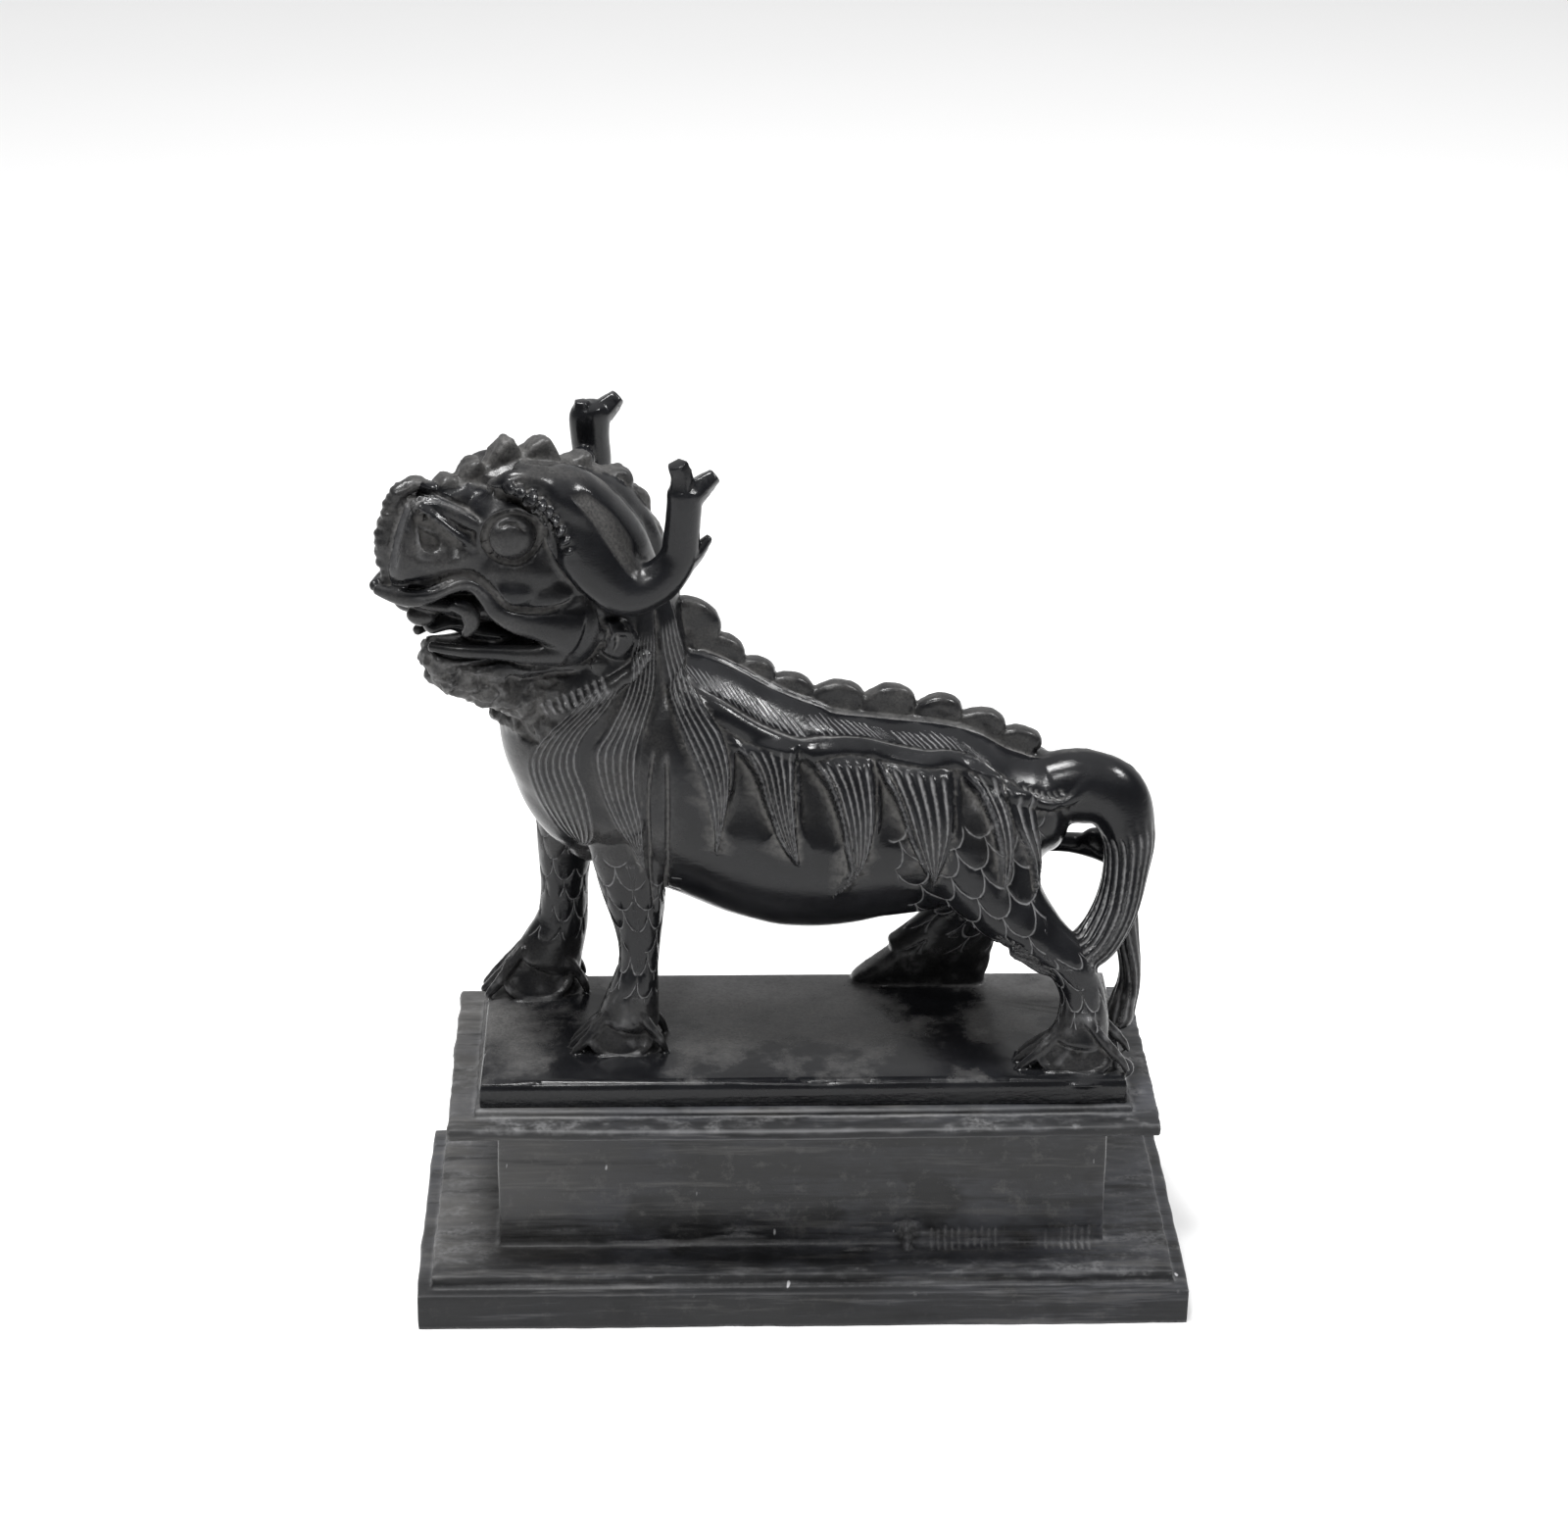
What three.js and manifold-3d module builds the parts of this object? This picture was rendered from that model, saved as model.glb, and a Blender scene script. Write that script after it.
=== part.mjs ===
// A horned guardian beast carved in dark polished stone, standing on a low tablet, on a stepped plinth.
// The tablet and the beast are one carving. The plinth below is a block of its own.
// Millimetres, +Z up, origin at the centre of the plinth's underside. The beast faces -X.
import * as THREE from "three";
import { mergeVertices } from "three/addons/utils/BufferGeometryUtils.js";
import Module from "manifold-3d";

const wasm = await Module();
wasm.setup();

// Plinth: length along X, width along Y and top height of each step.
const SLAB = { length: 200, width: 88, top: 10, corner: 4, bow: 0.6 };
const TIER = { length: 192, width: 80, top: 13.5, corner: 3, bow: 0.5 };
const DADO = { length: 158, width: 50.5, top: 52.5, corner: 1.5, bow: 0.8 };
const PLATE = { length: 182, width: 77, top: 56, corner: 2, bow: 1 };
const LEDGE = { length: 168, width: 64, top: 58, corner: 2, bow: 1.5 };
const STEP_SINK = 1.3; // each step reaches this far into its neighbour
const ARRIS = 0.8; // worn edge of the steps

// Tablet under the feet.
const TABLET = { length: 166, width: 62, top: 65, corner: 2.5, bow: 2 };
const ROOTED = 1; // the feet reach this far into the tablet

// The beast's middle plane, and its head's place and turn.
const BODY_Y = 6;
const HEAD_AT = new THREE.Vector3(-55, 2, 199);
const HEAD_YAW = 23; // degrees, towards -Y
const HEAD_LIFT = 15; // degrees, nose up
const HEAD_TILT = 2; // degrees, far side up

// Facets: sides round a trunk, a limb and a lock of hair.
const TRUNK_SIDES = 14;
const LIMB_SIDES = 10;
const LOCK_SIDES = 6;

const degrees = THREE.MathUtils.degToRad;

// A closed solid from a geometry whose shared corners are merged.
function solid(geometry) {
  const bare = geometry.clone();
  bare.deleteAttribute("normal");
  bare.deleteAttribute("uv");
  const merged = mergeVertices(bare, 1e-3);
  return new wasm.Manifold(
    new wasm.Mesh({
      numProp: 3,
      vertProperties: merged.attributes.position.array,
      triVerts: new Uint32Array(merged.index.array),
    }),
  );
}

function fuse(geometries) {
  return geometries.map(solid).reduce((whole, next) => whole.add(next));
}

function meshOf(body, name, material) {
  const { vertProperties, triVerts } = body.getMesh();
  const geometry = new THREE.BufferGeometry();
  geometry.setAttribute("position", new THREE.BufferAttribute(vertProperties, 3));
  geometry.setIndex(new THREE.BufferAttribute(triVerts, 1));
  geometry.computeVertexNormals();
  const mesh = new THREE.Mesh(geometry, material);
  mesh.name = name;
  return mesh;
}

// A smooth rounded form: oval rings square to a spline through the stations, closed by domed ends.
// A station is [x, y, z, wide, deep]: wide is the half-size along the side axis, deep the one across it.
function swell(stations, options = {}) {
  const { side = [0, 1, 0], sides = LIMB_SIDES, steps = 7, domes = [1, 1] } = options;
  const capRings = sides > LOCK_SIDES ? 2 : 1;
  const path = new THREE.CatmullRomCurve3(stations.map(([x, y, z]) => new THREE.Vector3(x, y, z)));
  const sizes = new THREE.CatmullRomCurve3(
    stations.map(([, , , wide, deep]) => new THREE.Vector3(wide, deep, 0)),
  );
  const axis = new THREE.Vector3(...side);
  const rings = [];
  const ring = (t, shift, scale) => {
    const along = path.getTangent(t);
    const across = axis.clone().addScaledVector(along, -axis.dot(along)).normalize();
    const out = along.clone().cross(across);
    const centre = path.getPoint(t).addScaledVector(along, shift);
    const size = sizes.getPoint(t).multiplyScalar(scale);
    rings.push({ centre, across, out, wide: size.x, deep: size.y });
  };
  const reach = (t, dome) => dome * Math.min(sizes.getPoint(t).x, sizes.getPoint(t).y);
  for (let k = capRings; k > 0; k--) {
    const turn = ((k - 0.4) / capRings) * (Math.PI / 2);
    ring(0, -reach(0, domes[0]) * Math.sin(turn), Math.cos(turn));
  }
  for (let k = 0; k <= steps; k++) ring(k / steps, 0, 1);
  for (let k = 1; k <= capRings; k++) {
    const turn = ((k - 0.4) / capRings) * (Math.PI / 2);
    ring(1, reach(1, domes[1]) * Math.sin(turn), Math.cos(turn));
  }
  const points = [];
  for (const r of rings) {
    for (let k = 0; k < sides; k++) {
      const turn = (k / sides) * 2 * Math.PI;
      points.push(
        r.centre
          .clone()
          .addScaledVector(r.across, r.wide * Math.cos(turn))
          .addScaledVector(r.out, r.deep * Math.sin(turn)),
      );
    }
  }
  const last = rings.length - 1;
  points.push(path.getPoint(0).addScaledVector(path.getTangent(0), -reach(0, domes[0])));
  points.push(path.getPoint(1).addScaledVector(path.getTangent(1), reach(1, domes[1])));
  const index = [];
  for (let k = 0; k < sides; k++) {
    const next = (k + 1) % sides;
    for (let r = 0; r < last; r++) {
      const a = r * sides + k;
      const b = r * sides + next;
      index.push(a, b, b + sides, a, b + sides, a + sides);
    }
    index.push(points.length - 2, next, k);
    index.push(points.length - 1, last * sides + k, last * sides + next);
  }
  const geometry = new THREE.BufferGeometry().setFromPoints(points);
  geometry.setIndex(index);
  return geometry;
}

// An egg: a ball scaled to three half-sizes.
function egg([x, y, z], [rx, ry, rz], sides = LIMB_SIDES) {
  const geometry = new THREE.SphereGeometry(1, sides, Math.round(sides * 0.6));
  geometry.scale(rx, ry, rz);
  return geometry.translate(x, y, z);
}

// One step of the base: a rectangle with rounded corners, a near side that bows out and worn arrises.
function step({ length, width, top, corner, bow }, bottom) {
  const [x, y] = [length / 2, width / 2];
  const outline = new THREE.Shape();
  outline.moveTo(-x + corner, -y);
  outline.quadraticCurveTo(0, -y - 2 * bow, x - corner, -y);
  outline.quadraticCurveTo(x, -y, x, -y + corner);
  outline.lineTo(x, y - corner);
  outline.quadraticCurveTo(x, y, x - corner, y);
  outline.lineTo(-x + corner, y);
  outline.quadraticCurveTo(-x, y, -x, y - corner);
  outline.lineTo(-x, -y + corner);
  outline.quadraticCurveTo(-x, -y, -x + corner, -y);
  const geometry = new THREE.ExtrudeGeometry(outline, {
    depth: top - bottom - 2 * ARRIS,
    bevelSize: ARRIS,
    bevelThickness: ARRIS,
    bevelOffset: -ARRIS,
    bevelSegments: 1,
    curveSegments: 2,
  });
  return geometry.translate(0, 0, bottom + ARRIS);
}

// The trunk's oval sections square to X: [x, height of the middle, half-width, half-height].
const TRUNK = [
  [-50, 143, 20, 26],
  [-38, 141.5, 24.5, 31],
  [-20, 132.3, 23.5, 31],
  [0, 124.5, 23, 30.8],
  [20, 124.3, 22.5, 28],
  [36, 125, 23, 25.5],
  [50, 125.5, 21, 20.5],
  [61, 127.5, 15, 13.5],
];

// A point of the trunk's skin: at x, turned from the spine towards side (-1 near, 1 far), lifted off it.
function skin(x, turn, side, lift = 0) {
  const i = Math.max(1, TRUNK.findIndex(([at], k) => at >= x || k === TRUNK.length - 1));
  const [low, high] = [TRUNK[i - 1], TRUNK[i]];
  const t = (x - low[0]) / (high[0] - low[0]);
  const [middle, wide, tall] = [1, 2, 3].map((k) => THREE.MathUtils.lerp(low[k], high[k], t));
  return [
    x,
    BODY_Y + side * (wide + lift) * Math.sin(degrees(turn)),
    middle + (tall + lift) * Math.cos(degrees(turn)),
  ];
}

function trunk() {
  const stations = TRUNK.map(([x, z, wide, tall]) => [x, BODY_Y, z, wide, tall]);
  return [swell(stations, { sides: TRUNK_SIDES, steps: 9, domes: [0.5, 0.6] })];
}

function neckAndChest() {
  const neck = [
    [-42, 6, 134, 24, 22],
    [-51, 6, 147, 23, 25],
    [-51, 5, 160, 22, 24],
    [-50, 4, 175, 20, 20],
    [-49, 3, 190, 17, 17],
  ];
  const breast = [
    [-61, 6, 150, 17, 14.5],
    [-60.5, 7, 137, 17, 13],
    [-57, 8, 126, 14, 11.5],
    [-54, 9, 118, 9, 8],
  ];
  return [
    swell(neck, { sides: TRUNK_SIDES, steps: 6, domes: [0.6, 0.5] }),
    swell(breast, { steps: 5 }),
  ];
}

// A tapered ridge of hair that follows the trunk's skin from its root to its tip.
function tuft(side, [x0, turn0], [x1, turn1], wide) {
  const rows = 5;
  const stations = Array.from({ length: rows }, (_, k) => {
    const t = k / (rows - 1);
    const bend = Math.sin(t * Math.PI) * 2.5;
    const [x, turn] = [THREE.MathUtils.lerp(x0, x1, t) + bend, THREE.MathUtils.lerp(turn0, turn1, t)];
    const taper = Math.sin(Math.PI * (0.3 + 0.66 * t)) * wide;
    return [...skin(x, turn, side, -0.8), taper, Math.max(taper * 0.45, 0.9)];
  });
  return swell(stations, { side: [1, 0, 0], sides: LOCK_SIDES, steps: 4, domes: [1, 1.5] });
}

// Flame-like tufts on the flank: root and tip as [x, turn from the spine], and half-width.
const TUFTS = [
  { root: [-34, 53], tip: [-14, 96], wide: 5.5 },
  { root: [-18, 52], tip: [5, 98], wide: 5.5 },
  { root: [4, 52], tip: [22, 108], wide: 6.5 },
  { root: [20, 54], tip: [42, 100], wide: 6 },
];

// The raised rolled edge of the mantle above the tufts.
function mantleEdge(side) {
  const waves = [-44, -34, -24, -12, 0, 12, 24, 36, 48, 57];
  const turns = [42, 48, 50, 46, 50, 46, 50, 47, 54, 60];
  const stations = waves.map((x, k) => [...skin(x, turns[k], side, -1), 2.4, 2.2]);
  return swell(stations, { side: [0, 0, 1], sides: LOCK_SIDES, steps: 9 });
}

function mantle() {
  return [-1, 1].flatMap((side) => [
    mantleEdge(side),
    ...TUFTS.map(({ root, tip, wide }) => tuft(side, root, tip, wide)),
  ]);
}

// Legs: stations down from shoulder or hip, then a foot with three toes and a heel spur.
function nearForeleg() {
  return [
    swell(
      [
        [-41, -5, 142, 9, 13],
        [-43.5, -6, 126, 8.5, 11.5],
        [-43.5, -7, 113, 7.5, 9],
        [-42.2, -7.5, 98, 6, 6],
        [-42.2, -8, 89, 5.2, 5],
        [-43.2, -8.5, 82, 6, 6],
        [-45, -8.5, 72, 7, 8],
      ],
      { domes: [0.8, 0.3] },
    ),
    ...foot([-48.5, -8.5], [11.5, 8.5, 10], 0),
  ];
}

function farForeleg() {
  return [
    swell(
      [
        [-53, 17, 142, 10, 13],
        [-58.5, 21, 124, 8.5, 10.5],
        [-61.5, 23.5, 106, 7, 7.2],
        [-62, 24, 94, 6, 6.1],
        [-63, 24, 84, 6.2, 6.8],
        [-67, 23.5, 73, 7, 9],
      ],
      { domes: [0.8, 0.3] },
    ),
    ...foot([-70.5, 22.5], [13, 7.5, 10], 6),
  ];
}

function nearHindLeg() {
  return [
    egg([44, -6, 121], [17, 13.5, 19.5], 11),
    swell(
      [
        [45, -8, 117, 12, 15],
        [52, -12, 106.5, 10.5, 10.5],
        [60.5, -15.5, 99, 8.5, 6.7],
        [67.5, -17.5, 92.6, 7, 5.8],
        [71.5, -18, 84, 5.6, 5.6],
        [72, -19, 76, 6, 6.6],
        [71, -20, 71, 7, 8],
      ],
      { domes: [0.8, 0.3], steps: 9 },
    ),
    ...foot([69.5, -20.5], [14.5, 9.5, 9.5], -6),
  ];
}

function farHindLeg() {
  return [
    egg([44, 17, 120], [16.5, 12.5, 18.5], 11),
    swell(
      [
        [46, 19, 114, 10, 13.5],
        [51, 22, 100, 8, 9],
        [45, 24.5, 87, 6.5, 8.5],
        [38.5, 26, 78, 6, 9],
        [30, 26.5, 70.5, 5.5, 9],
      ],
      { domes: [0.8, 0.6], steps: 9 },
    ),
    ...foot([29.5, 26], [14, 6, 8.5], 0),
  ];
}

// A foot: a domed pad with three toes in front, on the tablet's top; half-sizes and a turn in degrees.
function foot([x, y], [long, wide, high], turn) {
  const ground = TABLET.top - 1.5;
  const toes = [-1, 0, 1].map((k) =>
    egg([-long * 0.62, k * wide * 0.55, high * 0.1], [long * 0.42, wide * 0.36, high * 0.62], 6),
  );
  const heel = egg([long * 0.75, 0, high * 0.15], [long * 0.3, wide * 0.5, high * 0.55], 7);
  const pad = egg([0, 0, 0], [long * 0.85, wide * 0.9, high], 9);
  return [pad, ...toes, heel].map((piece) =>
    piece.rotateZ(degrees(turn)).translate(x, y, ground),
  );
}

// Tail: a thick root that arches off the rump, a near lock that curls forward on the hock,
// a far lock down to the tablet's end, and a short strut across the loop behind.
function tail() {
  const brush = [
    [58, 4, 129, 10, 9.5],
    [70, 3, 132.2, 8.5, 9.6],
    [79.5, 1.5, 130, 8, 9],
    [83.8, 0, 121, 8, 7],
    [83.3, -3, 111, 7.5, 5.8],
    [80, -8, 101, 7, 5.6],
    [73.5, -13, 94, 6, 5.5],
    [64, -17.5, 92.5, 4.5, 4.2],
    [56, -20.5, 96, 2.4, 2.2],
  ];
  const farLock = [
    [84, 4, 112, 5, 4.5],
    [84.8, 8, 100, 4.5, 3.5],
    [85.7, 8, 88, 3.8, 3.2],
    [86.8, 6, 76, 3.6, 3],
    [84, 3, 66, 4.5, 4],
  ];
  const strut = [
    [56, 15, 111, 4, 4],
    [67, 14, 111.3, 2.6, 2.6],
    [76, 13, 110.5, 3.2, 3],
    [84, 8, 109, 3.5, 3.2],
  ];
  return [
    swell(brush, { steps: 12, domes: [0.4, 2], sides: 9 }),
    swell(farLock, { sides: 8, steps: 7 }),
    swell(strut, { sides: LOCK_SIDES, steps: 5 }),
  ];
}

const BACK_LOBE_THICK = 5;
const HEAD_LOBE_THICK = 4;

// One lobe of a crest: a plate with a swept-back top, standing on a ridge, in the ridge's plane.
function lobe(width, height, thick) {
  const outline = new THREE.Shape();
  outline.moveTo(-width * 0.62, -height * 0.5);
  outline.lineTo(width * 0.62, -height * 0.5);
  outline.lineTo(width * 0.5, height * 0.6);
  outline.lineTo(width * 0.2, height);
  outline.lineTo(-width * 0.3, height * 0.8);
  outline.closePath();
  const geometry = new THREE.ExtrudeGeometry(outline, { depth: thick, bevelEnabled: false });
  // The plate lies in XZ, centred on Y = 0.
  return geometry.translate(0, 0, -thick / 2).rotateX(Math.PI / 2);
}

// Lobes of the back crest: [x, height of the base, slope in degrees, width, height].
const BACK_LOBES = [
  [-29.5, 176, 60, 13, 8],
  [-23.5, 166.5, 48, 12, 8.5],
  [-14.5, 160, 32, 10.5, 8],
  [-4.5, 156, 24, 11.5, 7],
  [8, 153, 10, 13, 7.6],
  [21.5, 151.5, 5, 13, 8],
  [34, 149.5, 12, 11.5, 7.2],
  [45, 146.6, 17, 11.5, 6.2],
  [55.5, 143, 22, 10, 4.6],
];

function backCrest() {
  return BACK_LOBES.map(([x, z, slope, width, height]) =>
    lobe(width, height, BACK_LOBE_THICK).rotateY(degrees(slope)).translate(x, BODY_Y, z),
  );
}

// Head, in its own frame: [forward, towards the near side, up] from the middle of the skull.
const HEAD = new THREE.Matrix4().makeBasis(
  new THREE.Vector3(-1, 0, 0),
  new THREE.Vector3(0, -1, 0),
  new THREE.Vector3(0, 0, 1),
);
HEAD.premultiply(new THREE.Matrix4().makeRotationX(degrees(HEAD_TILT)));
HEAD.premultiply(new THREE.Matrix4().makeRotationY(degrees(HEAD_LIFT)));
HEAD.premultiply(new THREE.Matrix4().makeRotationZ(degrees(HEAD_YAW)));
HEAD.setPosition(HEAD_AT);

function skull() {
  return [
    egg([6, 0, 2], [23, 17, 19.5], TRUNK_SIDES),
    swell(
      [
        [10, 0, 0, 16, 17],
        [26, 0, -2.5, 13.5, 13.5],
        [38, 0, -4.5, 12, 12.5],
        [47, 0, -5.5, 9.5, 11],
      ],
      { sides: TRUNK_SIDES, steps: 5, domes: [0.5, 0.6] },
    ),
  ];
}

// The lower jaw, the palate above the open mouth and the beard under the chin.
function jaw() {
  return [
    swell(
      [
        [4, 0, -24, 12.5, 9],
        [16, 0, -30, 10.5, 6],
        [26, 0, -32.5, 8.5, 5.2],
        [33, 0, -32.5, 6.5, 4.2],
      ],
      { steps: 5, domes: [0.6, 0.7] },
    ),
    swell(
      [
        [12, 0, -15, 9, 5],
        [28, 0, -17, 8.5, 4.5],
        [37, 0, -18.5, 7, 3.5],
      ],
      { sides: 8, steps: 3 },
    ),
    swell(
      [
        [28, 0, -36, 6.5, 5],
        [20, 0, -40, 9, 6.5],
        [10, 0, -41, 10, 7],
      ],
      { sides: 8, steps: 3 },
    ),
  ];
}

// One side of the face: eye, cheek, fang, brow and rolled lip.
function face(side) {
  const v = (out) => side * out;
  const brow = [
    [35, v(9.5), 10.5, 2.4, 2.4],
    [27, v(13.5), 14.5, 3, 3],
    [18, v(16.5), 12.5, 3.2, 3.2],
    [11.5, v(17.5), 4, 3, 3],
    [7, v(16.5), -4, 2, 2],
  ];
  const lip = [
    [49, v(2.5), -17.5, 2.4, 2],
    [43, v(10.5), -15.5, 2.8, 2.4],
    [36, v(13), -11.5, 3, 2.8],
    [28, v(14), -13.5, 3, 3.4],
    [18, v(15.5), -17, 3, 4],
    [7, v(16), -19.5, 3.5, 5],
  ];
  return [
    egg([24, v(12.5), 4.2], [7.2, 5, 7.2], 9),
    egg([4, v(12), -18], [10, 7.5, 10.5], 9),
    egg([36, v(8), -19], [2.2, 2, 5.5], 5),
    swell(brow, { side: [0, 0, 1], sides: LOCK_SIDES, steps: 5 }),
    swell(lip, { side: [0, side, 0], sides: LOCK_SIDES, steps: 6 }),
  ];
}

// The two antlers don't match: how far each one's tips stand forward and up of the pattern,
// and how far its root sinks into the brow.
const NEAR_ANTLER = { forward: 1.5, up: 2, sink: 0 };
const FAR_ANTLER = { forward: 6, up: 2, sink: 3.5 };

// An antler: a broad smooth root over the brow, a low loop behind the cheek, a rising stem and a fork.
function antler(side) {
  const v = (out) => side * out;
  const { forward, up, sink } = side > 0 ? NEAR_ANTLER : FAR_ANTLER;
  const stem = [
    [27, v(7), 21, 3, 2.5],
    [18, v(13), 19.5, 5, 4.5],
    [9.5, v(17.5), 13, 6, 7],
    [3, v(20), 3.5, 6, 8],
    [-3.5, v(22), -2.5, 5.5, 7.6],
    [-10.5, v(24), 0.5, 5, 6],
    [-13.5, v(25.5), 9, 4.6, 5],
    [-12.5, v(26.5), 17.5, 4.2, 4.4],
    [-11, v(27), 24, 4, 4.2],
  ];
  const fork = [
    [
      [-10.5, v(27), 24, 3.4, 3.4],
      [-7.5, v(27), 31, 2.8, 2.8],
    ],
    [
      [-12, v(27), 23, 3.4, 3.4],
      [-17, v(28), 31, 2.2, 2.2],
    ],
    [
      [-14.5, v(25.5), 9, 3.6, 3.2],
      [-19.5, v(26), 13.5, 2, 1.6],
    ],
  ];
  // The root stays on the brow, and the rest is drawn forward and up by a growing share.
  const drawn = ([u, out, w, wide, deep], share) => [
    u + forward * share,
    out,
    w + up * share - sink * (1 - share),
    wide,
    deep,
  ];
  const drawnStem = stem.map((row, k) => drawn(row, k / (stem.length - 1)));
  const tines = fork.map((tine) => tine.map((row) => drawn(row, 1)));
  return [
    swell(drawnStem, { steps: 10, sides: 8 }),
    ...tines.map((tine) => swell(tine, { sides: LOCK_SIDES, steps: 1, domes: [1, 0.5] })),
  ];
}

// Lobes of the head crest, from the lip up the nose, over the brow and down the nape.
const HEAD_LOBES = [
  [49, -11.5, 106, 7, 3],
  [52, -5.5, 98, 7, 3],
  [52.6, 1, 82, 7, 3.4],
  [50.5, 7.5, 55, 7, 3.6],
  [44, 11, 10, 8, 3.4],
  [35, 12, -24, 9, 5],
  [26.5, 16, -28, 9, 6],
  [17.5, 19.5, -8, 10, 5.5],
  [7, 20, 14, 9, 5],
  [-3.5, 16.5, 28, 9, 5.5],
  [-11, 9.5, 46, 10, 6],
  [-17.5, 1, 52, 11, 6.5],
];

function headCrest() {
  return HEAD_LOBES.map(([u, w, slope, width, height]) =>
    lobe(width, height, HEAD_LOBE_THICK).scale(-1, -1, 1).rotateY(degrees(-slope)).translate(u, 0, w),
  );
}

function head() {
  const pieces = [skull(), jaw(), headCrest(), ...[-1, 1].flatMap((side) => [face(side), antler(side)])];
  return pieces.flat().map((piece) => piece.applyMatrix4(HEAD));
}

const polishedStone = new THREE.MeshStandardMaterial({ color: 0x1b1b1d, roughness: 0.28, metalness: 0 });
const honedStone = new THREE.MeshStandardMaterial({ color: 0x242426, roughness: 0.45, metalness: 0 });

// Everything of the legs that stands above the tablet's face, rooted a little way into it.
function standing(geometries) {
  const ground = new THREE.BoxGeometry(2 * TABLET.length, 2 * TABLET.length, TABLET.top);
  ground.translate(0, 0, TABLET.top / 2 - ROOTED);
  return fuse(geometries).subtract(solid(ground));
}

const beast = fuse([
  step(TABLET, LEDGE.top),
  ...trunk(),
  ...neckAndChest(),
  ...mantle(),
  ...backCrest(),
  ...head(),
]).add(standing([...nearForeleg(), ...farForeleg(), ...nearHindLeg(), ...farHindLeg(), ...tail()]));

const plinth = fuse([
  step(SLAB, 0),
  step(TIER, SLAB.top - STEP_SINK),
  step({ ...DADO, top: DADO.top + STEP_SINK }, TIER.top - STEP_SINK),
  step(PLATE, DADO.top),
  step(LEDGE, PLATE.top - STEP_SINK),
]);

const statue = new THREE.Group();
statue.add(meshOf(beast, "guardian_beast", polishedStone));
statue.add(meshOf(plinth, "plinth", honedStone));

export default statue;
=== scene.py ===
"""A horned guardian beast of polished black stone on its tablet, standing on a stepped plinth.

The beast faces -X, -Y is the side nearest the camera, and +Z is up. Shapes are worked out in millimetres as
numpy arrays, fused into one skin for each block of stone, cut with relief, and put into the meshes in metres.
"""

import math

import bpy
import numpy as np
from mathutils import Matrix


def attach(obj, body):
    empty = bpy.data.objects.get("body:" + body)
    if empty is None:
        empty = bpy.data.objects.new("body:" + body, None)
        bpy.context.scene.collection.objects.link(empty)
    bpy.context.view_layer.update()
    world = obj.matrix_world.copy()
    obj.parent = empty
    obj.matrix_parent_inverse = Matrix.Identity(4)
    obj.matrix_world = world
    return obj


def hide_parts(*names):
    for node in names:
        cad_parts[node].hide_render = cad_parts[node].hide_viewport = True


bl_info = {
    "name": "Guardian beast in black stone",
    "version": (1, 0, 0),
    "blender": (4, 5, 0),
    "location": "3D View > Sidebar > Guardian beast",
    "description": "Carves a horned guardian beast and its stepped plinth, and sets a plain stage for them",
    "category": "Object",
}

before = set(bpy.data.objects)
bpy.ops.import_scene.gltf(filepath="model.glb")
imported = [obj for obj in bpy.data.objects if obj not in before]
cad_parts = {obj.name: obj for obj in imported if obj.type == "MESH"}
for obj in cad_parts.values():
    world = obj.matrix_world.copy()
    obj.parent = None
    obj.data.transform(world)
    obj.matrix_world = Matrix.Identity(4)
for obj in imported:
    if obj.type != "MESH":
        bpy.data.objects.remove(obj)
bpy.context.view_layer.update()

MM = 0.001

# The blocks of the base: length, width, height of the foot and of the top, in mm.
SLAB = (200, 88, 0, 10)
TIER = (192, 80, 9, 13.5)
DADO = (158, 50.5, 12.5, 53.5)
PLATE = (182, 77, 52.5, 56)
LEDGE = (168, 64, 55, 58)
TABLET = (166, 62, 58, 65)

# The beast's middle plane, and its head's place and turn.
BODY_Y = 6.0
HEAD_AT = np.array([-55.0, 2.0, 199.0])
HEAD_YAW = 23.0
HEAD_LIFT = 15.0
HEAD_TILT = 2.0

# The trunk's oval sections: x, height of the middle, half-width, half-height.
TRUNK = np.array(
    [
        [-50, 143, 20, 26],
        [-38, 141.5, 24.5, 31],
        [-20, 132.3, 23.5, 31],
        [0, 124.5, 23, 30.8],
        [20, 124.3, 22.5, 28],
        [36, 125, 23, 25.5],
        [50, 125.5, 21, 20.5],
        [61, 127.5, 15, 13.5],
    ],
    float,
)


# Curves and solid forms


def unit(vectors):
    """Each row divided by its own length."""
    return vectors / np.maximum(np.linalg.norm(vectors, axis=-1, keepdims=True), 1e-9)


def ramp(low, high, values):
    """0 below low, 1 above high, and the cubic 3t^2 - 2t^3 between."""
    t = np.clip((values - low) / (high - low), 0, 1)
    return t * t * (3 - 2 * t)


def smooth_path(points, count, closed=False):
    """A cubic between each two points whose slope at a point is half the step between its neighbours."""
    p = np.asarray(points, float)
    if closed:
        held = np.vstack([p[-1], p, p[0], p[1]])
        place = np.linspace(0, len(p), count, endpoint=False)
        k = np.minimum(place.astype(int), len(p) - 1)
    else:
        held = np.vstack([2 * p[0] - p[1], p, 2 * p[-1] - p[-2]])
        place = np.linspace(0, len(p) - 1, count)
        k = np.minimum(place.astype(int), len(p) - 2)
    t = (place - k)[:, None]
    a, b, c, d = held[k], held[k + 1], held[k + 2], held[k + 3]
    return 0.5 * (2 * b + (c - a) * t + (2 * a - 5 * b + 4 * c - d) * t**2 + (3 * b - a - 3 * c + d) * t**3)


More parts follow.
